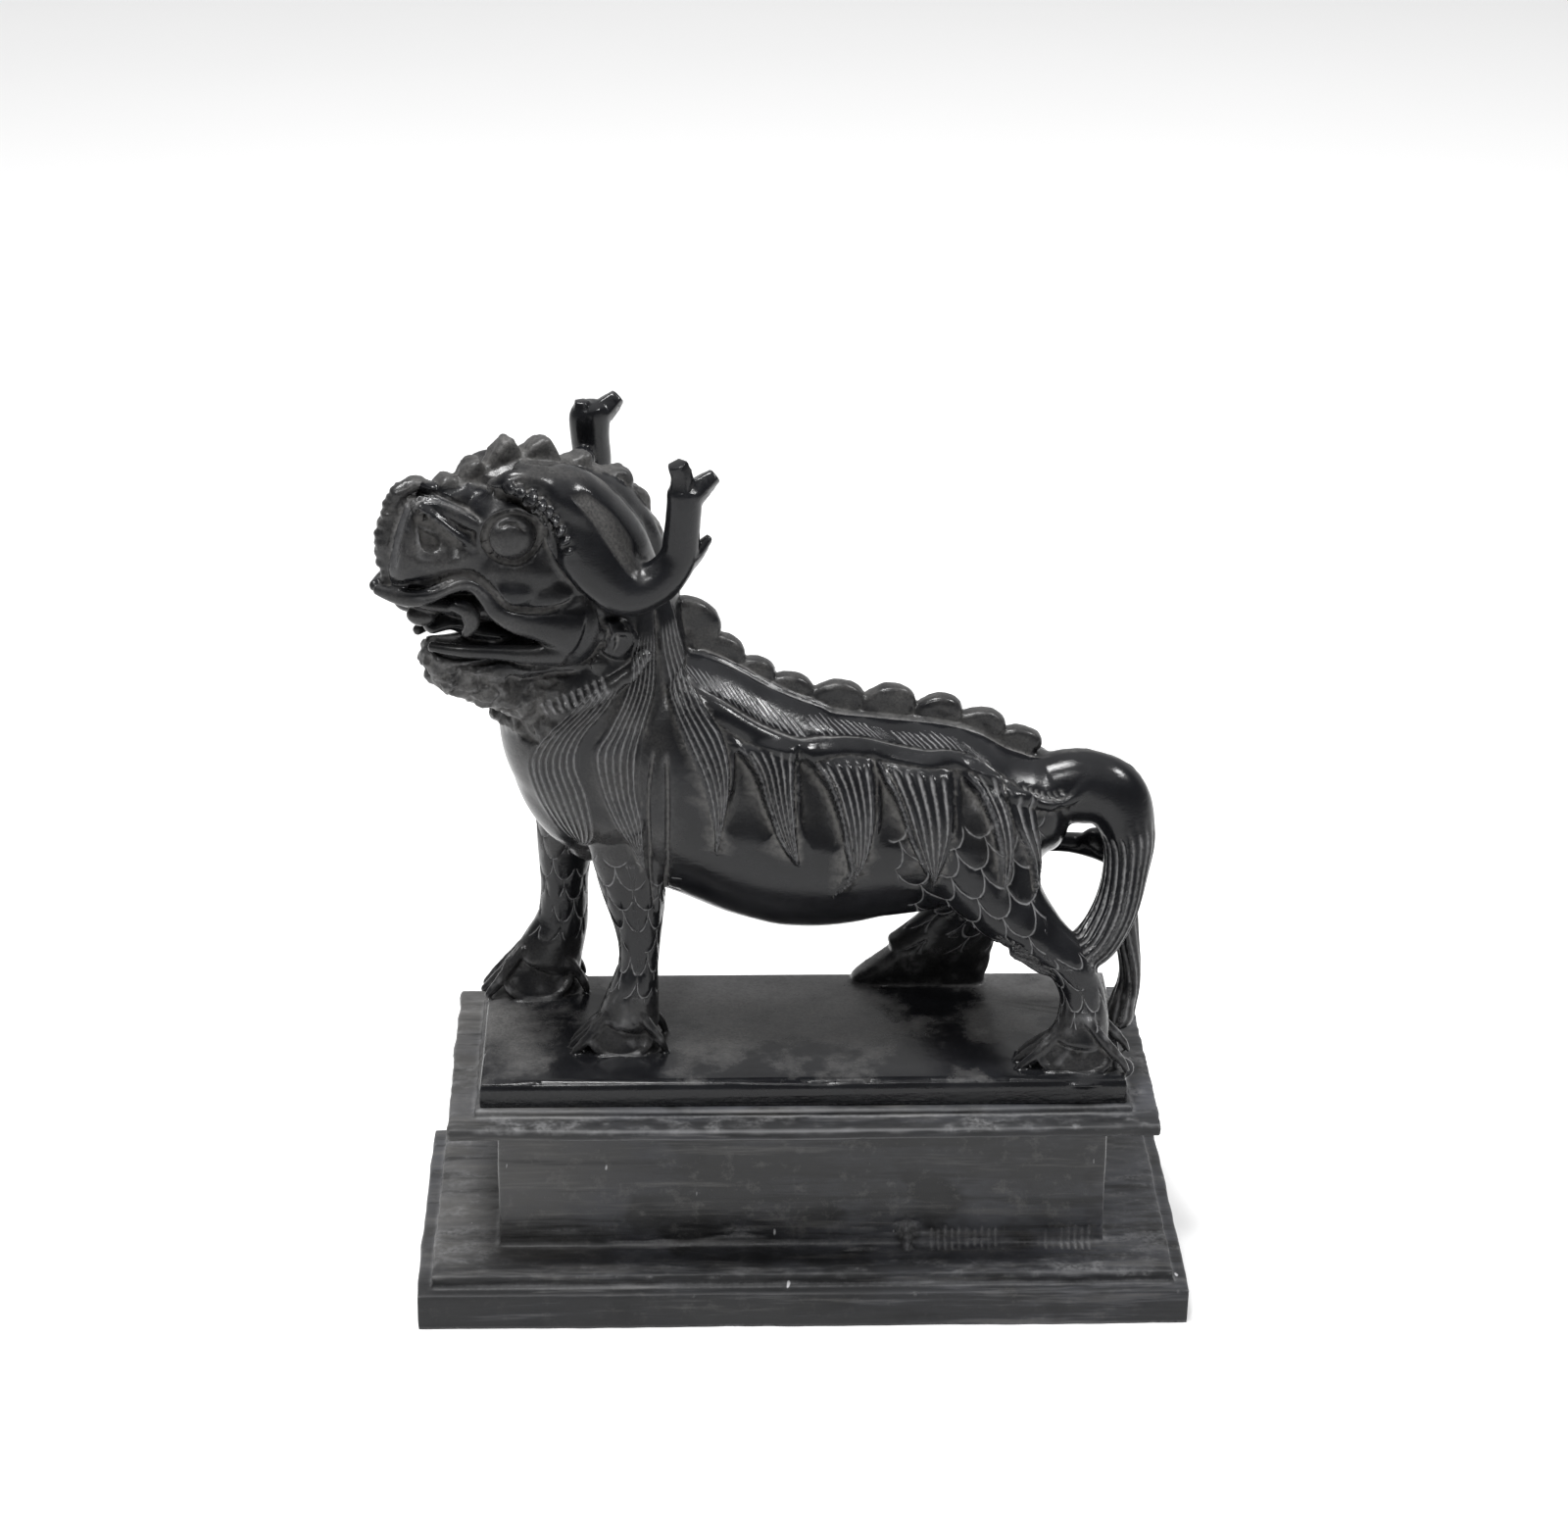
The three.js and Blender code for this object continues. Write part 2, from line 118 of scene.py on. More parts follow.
def tube_faces(rings, sides):
    """Triangles of a closed tube of rings, with one more point at each end."""
    k = np.arange(sides)
    r = np.arange(rings - 1)[:, None] * sides
    a = (r + k).ravel()
    b = (r + (k + 1) % sides).ravel()
    side = np.concatenate([np.stack([a, b, b + sides], 1), np.stack([a, b + sides, a + sides], 1)])
    first, last = rings * sides, rings * sides + 1
    top = (rings - 1) * sides
    near_end = np.stack([np.full(sides, first), (k + 1) % sides, k], 1)
    far_end = np.stack([np.full(sides, last), top + k, top + (k + 1) % sides], 1)
    return np.concatenate([side, near_end, far_end])


def path_frame(rows, side):
    """Along the path, across it on the given side, and out from it, for every row of stations."""
    along = unit(np.gradient(rows[:, :3], axis=0))
    axis = np.asarray(side, float)
    across = unit(axis - along * (along @ axis)[:, None])
    return along, across, np.cross(along, across)


def swell(stations, side=(0, 1, 0), sides=30, rings=44, domes=(1, 1)):
    """An oval ring carried along a smooth path and closed by domes.

    A station is x, y, z, wide, deep: ring = centre + wide * cos(turn) * across + deep * sin(turn) * out.
    """
    rows = smooth_path(stations, rings)
    along, across, out = path_frame(rows, side)
    curl = np.linspace(0, math.pi / 2, 7)[1:]
    reach = np.minimum(rows[:, 3], rows[:, 4])
    order = np.concatenate([np.zeros(6, int), np.arange(rings), np.full(6, rings - 1)])
    near_shift = -domes[0] * reach[0] * np.sin(curl[::-1])
    shift = np.concatenate([near_shift, np.zeros(rings), domes[1] * reach[-1] * np.sin(curl)])
    scale = np.concatenate([np.cos(curl[::-1]), np.ones(rings), np.cos(curl)]) + 0.02
    turn = np.arange(sides) / sides * 2 * math.pi
    wide, deep = (rows[order, k, None] * scale[:, None] for k in (3, 4))
    centre = rows[order, :3] + along[order] * shift[:, None]
    ring = (
        centre[:, None]
        + across[order][:, None] * (wide * np.cos(turn))[..., None]
        + out[order][:, None] * (deep * np.sin(turn))[..., None]
    )
    ends = np.stack([centre[0], centre[-1]])
    return np.concatenate([ring.reshape(-1, 3), ends]), tube_faces(len(order), sides)


def egg(centre, radii, sides=28):
    """A ball scaled to three half-sizes: x = rx cos(a) cos(b), y = ry sin(a) cos(b), z = rz sin(b)."""
    rings = sides // 2
    height = np.linspace(-math.pi / 2, math.pi / 2, rings + 2)[1:-1]
    turn = np.arange(sides) / sides * 2 * math.pi
    ring = np.stack(
        [
            np.cos(height)[:, None] * np.cos(turn),
            np.cos(height)[:, None] * np.sin(turn),
            np.repeat(np.sin(height)[:, None], sides, 1),
        ],
        -1,
    )
    ball = np.concatenate([ring.reshape(-1, 3), [[0, 0, -1], [0, 0, 1]]])
    return ball * np.asarray(radii, float) + np.asarray(centre, float), tube_faces(rings, sides)


def plate(outline, thick, axis=(0, 1, 0), count=60):
    """A flat-faced lobe with rounded edges, from its closed outline.

    At an angle b from face to face, the outline is drawn in to sin(b)^0.3 and moved by thick * cos(b)^0.6.
    """
    rim = smooth_path(outline, count, closed=True)
    middle = rim.mean(0)
    b = np.linspace(0.03, math.pi - 0.03, 15)
    move = np.sign(np.cos(b)) * np.abs(np.cos(b)) ** 0.6 * thick
    ring = middle + (rim - middle) * (np.sin(b) ** 0.3)[:, None, None]
    ring = ring + np.asarray(axis, float) * move[:, None, None]
    ends = np.stack([middle + np.asarray(axis, float) * move[0], middle + np.asarray(axis, float) * move[-1]])
    return np.concatenate([ring.reshape(-1, 3), ends]), tube_faces(len(b), count)


def lobe(outline, middle, thick):
    """A plate whose outline is given in x and z only."""
    return plate([(a, middle, b) for a, b in outline], thick)


def box(length, width, low, high):
    """A plain block centred on the Z axis."""
    x, y = length / 2, width / 2
    points = np.array(
        [[a, b, c] for c in (low, high) for a, b in ((-x, -y), (x, -y), (x, y), (-x, y))],
        float,
    )
    walls = [[k, (k + 1) % 4, 4 + (k + 1) % 4] for k in range(4)]
    walls += [[k, 4 + (k + 1) % 4, 4 + k] for k in range(4)]
    return points, np.array([*walls, [0, 2, 1], [0, 3, 2], [4, 5, 6], [4, 6, 7]])


def gathered(pieces):
    """Several pieces as one set of points and triangles."""
    counts = np.cumsum([0] + [len(points) for points, _ in pieces[:-1]])
    points = np.concatenate([points for points, _ in pieces])
    return points, np.concatenate([faces + start for (_, faces), start in zip(pieces, counts)])


# The head, in its own frame: forward, towards the near side, up


def head_frame():
    """The head's three axes as columns: a tilt about X, a lift about Y, then a yaw about Z."""
    tilt, lift, yaw = (math.radians(v) for v in (HEAD_TILT, HEAD_LIFT, HEAD_YAW))
    about_x = Matrix.Rotation(tilt, 3, "X")
    about_y = Matrix.Rotation(lift, 3, "Y")
    about_z = Matrix.Rotation(yaw, 3, "Z")
    return np.array(about_z @ about_y @ about_x) @ np.diag([-1.0, -1.0, 1.0])


HEAD_AXES = head_frame()
BOTH = (1, -1)


def on_head(piece):
    """A piece given in the head's frame, put in its place."""
    points, faces = piece
    return points @ HEAD_AXES.T + HEAD_AT, faces


def sided(rows, side):
    """The same rows on the near (1) or the far side (-1) of the head."""
    rows = np.array(rows, float)
    rows[..., 1] *= side
    return rows


# A swell's stations in the head's frame: forward, to the near side, up, and two half-widths, all in mm
EYE_AT = (26.2, 13.2, 4.9)
BROW = [
    [32, 9.6, 15.5, 2.2, 2], [28, 11.8, 18.6, 2.6, 2.4], [22, 14, 18.8, 2.8, 2.6],
    [16.8, 15.8, 14.6, 2.8, 2.6], [13.2, 16.8, 9, 2.6, 2.4], [10, 17.2, 3.4, 2.4, 2.2], [6, 17, -4, 2, 2],
]
ANTLER_NEAR = [
    [26, 9, 20.4, 2.2, 2],
    [21, 11.8, 18.8, 3.6, 4.4],
    [14.5, 15, 13.8, 4.6, 7.8],
    [8.5, 17.6, 7.8, 5.2, 9],
    [2.5, 20, 1.2, 5.8, 8.2],
    [-4, 22.4, -2.4, 5.6, 6.6],
    [-10, 24.4, 1.2, 5, 5.6],
    [-13, 25.6, 8, 4.2, 4.8],
    [-11.9, 26.2, 15, 3.9, 4.4],
    [-10.4, 26.8, 22, 3.8, 4.3],
    [-9.4, 27, 26, 3.6, 4.4],
]
NEAR_TINES = [
    [[-8.8, 27, 24.5, 3.4, 3.4], [-7.5, 27, 29.2, 3, 3], [-5.4, 27, 32.3, 2.7, 2.7]],
    [[-11.2, 27, 24.5, 3.6, 3.6], [-13.8, 27.3, 28.2, 3, 2.9], [-16, 27.6, 31, 2.1, 2]],
    [[-13.5, 25.8, 5.5, 3.6, 3.6], [-17, 26, 10, 2.6, 2.4], [-19.8, 26, 14.6, 1, 0.9]],
]
ANTLER_FAR = [
    [26, -9, 12, 2.2, 2],
    [21, -11.8, 11, 3.6, 4.4],
    [14.5, -15, 7.6, 4.6, 6.6],
    [8.5, -17.6, 4, 5.2, 7.6],
    [2.5, -20, 0, 5.8, 7.6],
    [-3, -22.4, -2.2, 5.6, 6.6],
    [-7.4, -24, 2, 5, 5.6],
    [-9.4, -25, 8.5, 4.2, 5],
    [-8.8, -25, 14.5, 3.9, 4.8],
    [-6.4, -24.8, 20.5, 4, 4.9],
    [-4.4, -24.4, 26.5, 4.2, 5.2],
    [-3.6, -24.2, 29, 3.8, 4.2],
]
FAR_TINES = [
    [[-5.2, -24.3, 25.5, 3.8, 3.8], [-8.6, -24.5, 29.2, 3.3, 3.3], [-11, -24.6, 32.4, 2.2, 2.2]],
    [[-2, -24, 27, 2.6, 2.6], [-1.2, -24, 30, 2.2, 2.2]],
    [[-9, -25, 6, 3.4, 3.4], [-12.6, -25.4, 10, 2.4, 2.4], [-15, -25.4, 14, 1, 0.9]],
]
FAR_LOWER = 4.2  # the far brow and horn root lie lower than the near ones
HORN_SHOULDER = [
    [22, 12, 19, 4.6, 3],
    [14.5, 13.4, 17.6, 7.6, 5],
    [8, 14, 14.8, 8.8, 5.6],
    [2, 14.2, 11, 9, 5.6],
    [-4.5, 14.2, 6.4, 8.2, 5],
    [-9, 14, 2.6, 6, 4],
]
SNOUT = [[10, 0, 0, 16, 17], [26, 0, -1.5, 13.6, 13.5], [38, 0, -3, 12.4, 12.5], [49, 0, -3.6, 10.6, 11.6]]
CROWN = [
    [42, 0, 8, 5, 3], [36, 0, 9.6, 6, 4.4], [30, 0, 12.4, 7, 5], [23, 0, 16.2, 8, 5.4], [14, 0, 17, 9, 5],
    [4, 0, 16.5, 9, 4.6], [-5, 0, 13.4, 9, 4.4], [-13, 0, 7, 9, 4.6], [-18, 0, -2, 9, 5],
]
JAW = [[4, 0, -24, 13.5, 9], [15, 0, -29.8, 12, 6.2], [25, 0, -32.2, 9.5, 5], [33, 0, -32.6, 6.6, 4.2]]
CHIN = [[28, 0, -36.4, 7, 4.8], [20, 0, -37.6, 9.5, 5.6], [8, 0, -38, 11, 8]]


def sided_lower(rows, side):
    """The same rows on the near (1) or the far side (-1) of the head, the far ones lower."""
    rows = sided(rows, side)
    rows[..., 2] -= 0 if side > 0 else FAR_LOWER
    return rows


def head_masses():
    """The broad forms, whose joints are eased: skull, snout, cheeks, jaw, brows and both antlers."""
    pieces = [
        egg((6, 0, 2), (23, 17, 19.5), 56),
        swell(SNOUT, sides=48, domes=(0.5, 0.32)),
        swell(CROWN),
        swell(JAW, domes=(0.6, 0.6)),
        swell(CHIN),
        swell(ANTLER_NEAR, sides=36, rings=70, domes=(1, 0.3)),
        swell(ANTLER_FAR, sides=36, rings=70, domes=(1, 0.25)),
    ]
    for side in BOTH:
        pieces += [
            egg((4, 11.6 * side, -17.6), (9.6, 7.6, 10.8), 36),
            egg((19.5, 9.4 * side, -5), (15, 7.4, 8.4), 36),
            egg((25, 8.4 * side, 7), (11, 7, 9), 36),
            swell(sided_lower(BROW, side), side=(0, 0, 1), sides=20),
            swell(sided_lower(HORN_SHOULDER, side), side=(0, -0.78 * side, 0.62), sides=36),
            egg((11, 11.6 * side, -10), (13, 6, 7), 36),
            egg((22, 12.9 * side, -9), (7.2, 4.9, 4.4), 30),
        ]
    return pieces


LIP = [
    [51.8, 1.5, -16.8, 1.2, 1.3],
    [48.4, 5.4, -16.4, 1.7, 2.1],
    [45.4, 8.6, -15.6, 1.8, 2.2],
    [42.4, 11.2, -13.4, 1.8, 1.9],
    [38.8, 12.6, -10.3, 1.8, 1.8],
    [35.2, 13.1, -8.7, 1.8, 1.8],
    [31.8, 13.4, -9.3, 1.9, 1.9],
    [28.3, 14, -11.8, 2, 2.3],
    [25.3, 14.6, -14.2, 2.2, 2.8],
    [20, 15.2, -15.8, 2.4, 3.5],
    [13, 16, -16, 3, 4.6],
    [5, 16.2, -17, 4, 6.5],
]
LOWER_LIP = [
    [36, 5.5, -28.6, 1.3, 1.4], [30, 9.4, -27.4, 1.5, 1.6], [22, 12, -26, 1.7, 1.9],
    [14, 14, -24.8, 2.4, 2.6], [7, 15.6, -22.8, 3, 3.6],
]
LEAF = [
    [48.4, 5, 8.6, 1, 1], [44, 7.8, 8.2, 1.3, 1.7], [38.5, 10.3, 6.8, 1.4, 1.9], [33.5, 12, 5.4, 1.2, 1.3],
    [30.5, 12.8, 4.6, 0.8, 0.8],
]
NOSTRIL_RIDGE = [
    [49.8, 5.6, 7.6, 1.2, 1.2], [46.2, 8, 6.2, 1.5, 1.4], [42, 10.4, 4, 1.5, 1.4],
    [37.8, 11.9, 2.2, 1.2, 1.1], [35, 12.4, 0.6, 0.8, 0.7],
]
TUSK = [
    [34.6, 9.6, -15.6, 1.8, 1.8], [31.6, 10.6, -16.4, 2.3, 2.2], [29.6, 10.8, -19.4, 2.1, 2.1],
    [30, 10, -22.6, 1.2, 1.2],
]
EAR_LEAF = [[-3.4, -13], [-8.4, -12.6], [-12.4, -16.4], [-13.2, -21.5], [-9, -23], [-4.2, -21.4], [-2, -17]]
EAR_CURL = [
    [-4.6, 17.4, -19, 0.9, 0.9], [-5, 18.2, -15.6, 1.1, 1.1], [-8.4, 18.4, -15, 1.1, 1.1],
    [-10.2, 18, -18, 1, 1], [-8.4, 17.8, -20.4, 0.8, 0.8],
]
NAPE_LEAF = [[-1.4, -23.6], [-6.9, -23.2], [-12.4, -27], [-12.6, -31.4], [-9, -31.2], [-4, -28]]
MUZZLE_RIM = [
    [39.6, 12.2], [42.3, 10.4], [45.6, 10.4], [48.6, 11.2], [50.6, 10.3], [52.5, 8.6],
    [53.5, 5.7], [53.8, 2.2], [53.9, -2.6], [53.3, -6.2], [51.2, -10.8], [49.6, -14],
]
MUZZLE_SCALLOPS = 20
BEAD_ROW = [
    [30.4, 14, 17.2], [27.4, 15.8, 17], [24, 17.2, 15.2], [21.6, 18, 13.4], [19.4, 18.8, 11.4],
    [17, 19.4, 9.2], [14.8, 19.8, 6.6], [12.4, 19.6, 3.2], [10, 19.2, -1],
]
BEADS = 11
HEAD_LOBES = [
    [[43.4, 8], [43.2, 12], [41.6, 14.2], [38.8, 14.2], [36.4, 12.2], [35.6, 8]],
    [[38, 9], [38, 14.8], [36.6, 18], [34, 19.6], [31.8, 17.4], [30.6, 14.2], [30, 10]],
    [[31.6, 13], [31.4, 19.6], [30, 23.4], [27.8, 26], [25, 24.2], [22.6, 20.4], [22.4, 14]],
    [[23.8, 14], [23.6, 21.4], [21, 25], [17.8, 27.2], [15, 25], [12.6, 20.4], [12.4, 14]],
    [[13.4, 14], [12.8, 20.4], [9.8, 23], [5.8, 24.6], [3.6, 21], [2.4, 14]],
    [[3, 12], [1.8, 19.4], [-2.4, 21.4], [-6.6, 21.4], [-8, 17], [-5, 10]],
    [[-4.4, 10], [-7.4, 17], [-11.4, 17], [-14.2, 14.2], [-14.4, 10.6], [-9, 6]],
    [[-9, 6], [-13.6, 10.6], [-17.4, 9.4], [-20, 5.4], [-19.4, 1.4], [-13, 0]],
]
PALATE = [
    [51.4, 1, -17, 1, 0.8], [49.4, 0.5, -17, 3.6, 1.9], [45, 0, -17, 7.4, 2.5],
    [40, 0, -17, 9.2, 2.6], [28, 0, -16.6, 10, 4.4], [12, 0, -15, 11, 5.5],
]
TONGUE = [[14, 0, -24, 6, 2.4], [24, 0, -24, 5.4, 2.6], [31, 1, -22.6, 4.4, 2.4], [36, 2, -24.6, 3, 1.6]]
SIDE_FORMS = (LOWER_LIP, LEAF, NOSTRIL_RIDGE, TUSK, EAR_CURL)
FAR_KNOB = (-3.4, -20, 16)  # the round curl at the foot of the far antler


def eye_ring():
    """Stations of the lid: an oval of 8 by 7.1 mm round the eye, set 0.9 mm askew."""
    x, y, z = EYE_AT
    turn = np.linspace(0, 2 * math.pi, 33)
    thick = 0.9 + 0 * turn
    return np.stack([x + 8 * np.cos(turn), y - 0.9 * np.cos(turn), z + 7.1 * np.sin(turn), thick, thick], 1)


def head_details():
    """The crisp forms: lips, teeth, eyes, brow beads, nostril ridges, ears, tines and the rough crest."""
    pieces = [
        swell(PALATE, domes=(0.8, 1)),
        swell(TONGUE),
        *[swell(tine, sides=5, rings=12, domes=(1, 0.12)) for tine in (*NEAR_TINES, *FAR_TINES)],
        egg(FAR_KNOB, (3.4, 3.4, 3.4), 20),
    ]
    for side in BOTH:
        pieces += [
            egg(sided(EYE_AT, side), (6.8, 3.7, 6), 40),
            swell(sided(eye_ring(), side), side=(0, side, 0), sides=12, rings=90, domes=(0.1, 0.1)),
            egg((40.4, 4.6 * side, -21), (4, 3, 2.7), 20),
            plate(sided([[a, 15.4, b] for a, b in EAR_LEAF], side), 3.2),
            plate(sided([[a, 14.6, b] for a, b in NAPE_LEAF], side), 3),
            swell(sided(LIP, side), side=(0, side, 0), sides=20, rings=60, domes=(1, 0.5)),
        ]
        for rows in SIDE_FORMS:
            pieces.append(swell(sided(rows, side), side=(0, side, 0), sides=16, domes=(0.8, 0.8)))
        pieces += brow_beads(side)
    pieces += [lobe(outline, 0, 3.2) for outline in HEAD_LOBES]
    band = [[u * 0.985, 0, w, 2.6, 1.6] for u, w in MUZZLE_RIM]
    pieces.append(swell(band, side=(0, 1, 0), sides=24, rings=60))
    for k, (u, w) in enumerate(smooth_path(MUZZLE_RIM, MUZZLE_SCALLOPS)):
        pieces.append(egg((u, 0.4 * math.sin(2.2 * k), w), (1.5, 2.3, 1.5), 16))
    return pieces


def brow_beads(side):
    """A row of small ridges, each a ball drawn out square to the row: two round, then ever thinner ones."""
    row = smooth_path(BEAD_ROW, BEADS)
    along = unit(np.gradient(row, axis=0))
    across = unit(np.cross(along, (0.0, 1.0, 0.0)))
    ball, faces = egg((0, 0, 0), (1, 1, 1), 14)
    share = np.arange(BEADS) / (BEADS - 1)
    thick, long = 1.35 - 0.55 * share, np.where(share < 0.15, 1.7, 2.6 - 0.8 * share)
    beads = []
    for k in range(BEADS):
        axes = np.stack([along[k] * thick[k], across[k] * long[k], [0, 2.8, 0]])
        beads.append((sided_lower(ball @ axes + row[k], side), faces))
    return beads


# Trunk, neck, legs and tail, in the statue's frame

# The same in the statue's frame: x, y, z, and two half-widths, in mm
NECK = [
    [-42, 6, 134, 24, 22], [-51, 6, 147, 23, 25], [-51, 5, 160, 22, 24], [-50, 4.4, 175, 17.4, 20],
    [-49, 3.6, 190, 14, 17],
]
BREAST = [[-61.5, 6, 152, 17, 14.5], [-61, 7, 138, 17, 13], [-57, 8, 126, 14, 11.5], [-54, 9, 118, 9, 8]]


def trunk_and_neck():
    """The trunk's, the neck's and the breast's swells, one running into the other."""
    sections = [[x, BODY_Y, z, wide, tall] for x, z, wide, tall in TRUNK]
    return [
        swell(sections, sides=72, rings=80, domes=(0.5, 0.6)),
        swell(NECK, sides=72, rings=60, domes=(0.6, 0.5)),
        swell(BREAST, sides=48),
    ]


BACK_LOBES = [
    [-29.5, 176, 60, 13, 8],
    [-23.5, 166.5, 48, 12, 8.5],
    [-14.5, 160, 32, 10.5, 8],
    [-4.5, 156, 24, 11.5, 7],
    [8, 153, 10, 13, 7.6],
    [21.5, 151.5, 5, 13, 8],
    [34, 149.5, 12, 11.5, 7.2],
    [45, 146.6, 17, 11.5, 6.2],
    [55.5, 143, 22, 10, 4.6],
]
BACK_LOBE = [
    (-0.66, -0.6), (0.44, -0.6), (0.5, 0.1), (0.54, 0.52), (0.42, 0.88), (0.12, 1.04), (-0.2, 0.92),
    (-0.48, 0.56), (-0.62, 0.05),
]


def back_crest():
    """Lobes along the spine, each low in front and steep behind: x, foot, slope, width and height."""
    spine = [[x, BODY_Y, z - 2.6, 3.6, 3.4] for x, z, *_ in BACK_LOBES]
    pieces = [swell(spine)]
    for x, z, slope, width, height in BACK_LOBES:
        c, s = math.cos(math.radians(slope)), math.sin(math.radians(slope))
        outline = [
            (x + a * width * c + b * height * s, z + b * height * c - a * width * s) for a, b in BACK_LOBE
        ]
        pieces.append(lobe(outline, BODY_Y, 2.7))
    return pieces


FORELEG_NEAR = [
    [-41, -5, 142, 9, 13],
    [-43.5, -6, 126, 8.5, 11.5],
    [-43.5, -7, 113, 7.5, 9],
    [-42.2, -7.5, 98, 6, 6],
    [-42.2, -8, 89, 5.2, 5],
    [-43.2, -8.5, 82, 6, 6],
    [-45, -8.5, 72, 7, 8],
]
FORELEG_FAR = [
    [-53, 17, 142, 10, 13],
    [-58.5, 21, 124, 8.5, 10.5],
    [-61.5, 23.5, 106, 7, 7.2],
    [-62, 24, 94, 6, 6.1],
    [-63, 24, 84, 6.2, 6.8],
    [-67, 23.5, 73, 7, 9],
]
HINDLEG_NEAR = [
    [45, -8, 117, 12, 15],
    [52, -12, 106.5, 10.5, 10.5],
    [60.5, -15.5, 99, 8.5, 6.7],
    [67.5, -17.5, 92.6, 7, 5.8],
    [71.5, -18, 84, 5.6, 5.6],
    [72, -19, 76, 6, 6.6],
    [71, -20, 71, 7, 8],
]
HINDLEG_FAR = [
    [46, 19, 114, 10, 13.5],
    [51, 22, 100, 8, 9],
    [45, 24.5, 87, 6.5, 8.5],
    [38.5, 26, 78, 6, 9],
    [30, 26.5, 70.5, 5.5, 9],
]

# Feet: place on the tablet, half-length, half-width, height, turn in degrees, and how far the toes stand out
FEET = [
    [-47.5, -9.5, 11.5, 9, 10, 0, 1],
    [-70.5, 22.5, 13, 8.6, 12.5, 6, 1],
    [69.5, -20.5, 13.5, 9.5, 9.5, -6, 1],
    [30, 26, 13, 6, 7, 0, 0.5],
]
FAR_WEDGE = [
    [14.8, 64], [22.5, 72.9], [31.6, 79.2], [44.6, 86], [53, 84], [52.1, 76], [50.3, 67.4], [46, 62.5]
]
LEGS = (FORELEG_NEAR, FORELEG_FAR, HINDLEG_NEAR, HINDLEG_FAR)


def legs():
    """Four legs, both thighs as balls, and the wedge behind the far hind leg."""
    return [
        *[swell(stations, domes=(0.8, 0.3), sides=36, rings=70) for stations in LEGS],
        egg((44, -6, 121), (17, 13.5, 19.5), 56),
        egg((44, 17, 120), (16.5, 12.5, 18.5), 56),
        lobe(FAR_WEDGE, 26, 4.6),
    ]


PAD_LEAN = math.radians(62)
PAD_REACH = 0.6  # half-length of the foot's steep oval pad, as a share of the foot's
RING_REACH = 0.68  # the same for the ring round the pad
TOE = ([-0.24, 0.5, 1.12, 1.3, 1.3], [-0.62, 0.9, 0.62, 1.5, 1.5], [-1, 1.15, 0.2, 1.1, 1])
SPUR = (
    [0.3, 0.8, 1.55, 1.3, 1.3], [0.62, 1, 1, 1.6, 1.5], [0.94, 1.1, 0.5, 1.2, 1.1],
    [1.05, 1.1, 0.2, 0.8, 0.8],
)


def tilted(piece, lean, middle):
    """A piece turned about X by an angle, then moved."""
    (x, y, z), faces = piece[0].T, piece[1]
    turned = [x, y * math.cos(lean) - z * math.sin(lean), y * math.sin(lean) + z * math.cos(lean)]
    return np.stack(turned, 1) + middle, faces


def foot(x, y, long, wide, high, turn, toes):
    """A hoof-like dome with a tilted pad and a ring round it on the near side, and a low collar of stone.

    Three thin toes stand in front and two spurs behind. Their rows are shares of the foot's half-length,
    half-width and height, with two half-widths in mm.
    """
    size = [long, wide, high, 1, 1]
    middle = [long * 0.05, -wide * 0.5, high * 0.6]
    around = np.linspace(0, 2 * math.pi, 49)
    across, slope = long * RING_REACH, high * 0.5 * RING_REACH / PAD_REACH
    path = [across * np.cos(around), slope * np.sin(around), 0 * around, 0 * around + 0.55, 0 * around + 0.95]
    pad = egg((0, 0, 0), (long * PAD_REACH, high * 0.5, 0.8), 36)
    ring = swell(np.stack(path, 1), side=(0, 0, 1), sides=10, rings=90, domes=(0.1, 0.1))
    parts = [
        egg((long * 0.1, wide * 0.12, 0), (long * 0.72, wide * 0.74, high * 0.98), 36),
        egg((long * 0.1, 0, 0), (long * 1.1, wide * 1.16, 2.5), 40),
        tilted(pad, PAD_LEAN, middle),
        tilted(ring, PAD_LEAN, middle),
    ]
    for k, reach in ((-0.5, 0.98), (-0.12, 1.04), (0.26, 0.98)):
        stretch = np.ones((3, 5))
        stretch[:, 1] = k
        stretch[2, 0] = reach * (0.8 + 0.2 * toes)
        parts.append(swell(np.array(TOE) * stretch * size, sides=14, rings=18, domes=(1, 0.8)))
    for k in (-0.5, 0.6):
        parts.append(swell(np.array(SPUR) * [1, k, 1, 1, 1] * size, sides=14, rings=18))
    parts.append(egg((long * 0.55, 0, high * 0.1), (long * 0.42, wide * 0.66, high * 0.6), 24))
    c, s = math.cos(math.radians(turn)), math.sin(math.radians(turn))
    turned_about_z = np.array([[c, s, 0], [-s, c, 0], [0, 0, 1]])
    ground = TABLET[3] - 1.5
    return [(points @ turned_about_z + [x, y, ground], faces) for points, faces in parts]


TAIL_BRUSH = [
    [58, 4, 129, 10, 9.5],
    [70, 3, 132.2, 8.5, 9.6],
    [79.5, 1.5, 130, 8, 9],
    [83.8, 0, 121, 8, 7],
    [83.3, -3, 111, 7.5, 5.8],
    [80, -8, 101, 7, 5.6],
    [73.5, -13, 94, 6, 5.5],
    [64, -17.5, 92.5, 4.5, 4.2],
    [56, -20.5, 96, 2.4, 2.2],
]
TAIL_LOCK = [
    [84, 4, 112, 5, 4.5], [84.8, 8, 100, 4.5, 3.5], [85.7, 8, 88, 3.8, 3.2], [86.8, 6, 76, 3.6, 3],
    [84, 3, 66, 4.5, 4],
]
TAIL_STRUT = [[56, 15, 111, 4, 4], [67, 14, 111.3, 2.6, 2.6], [76, 13, 110.5, 3.2, 3], [84, 8, 109, 3.5, 3.2]]


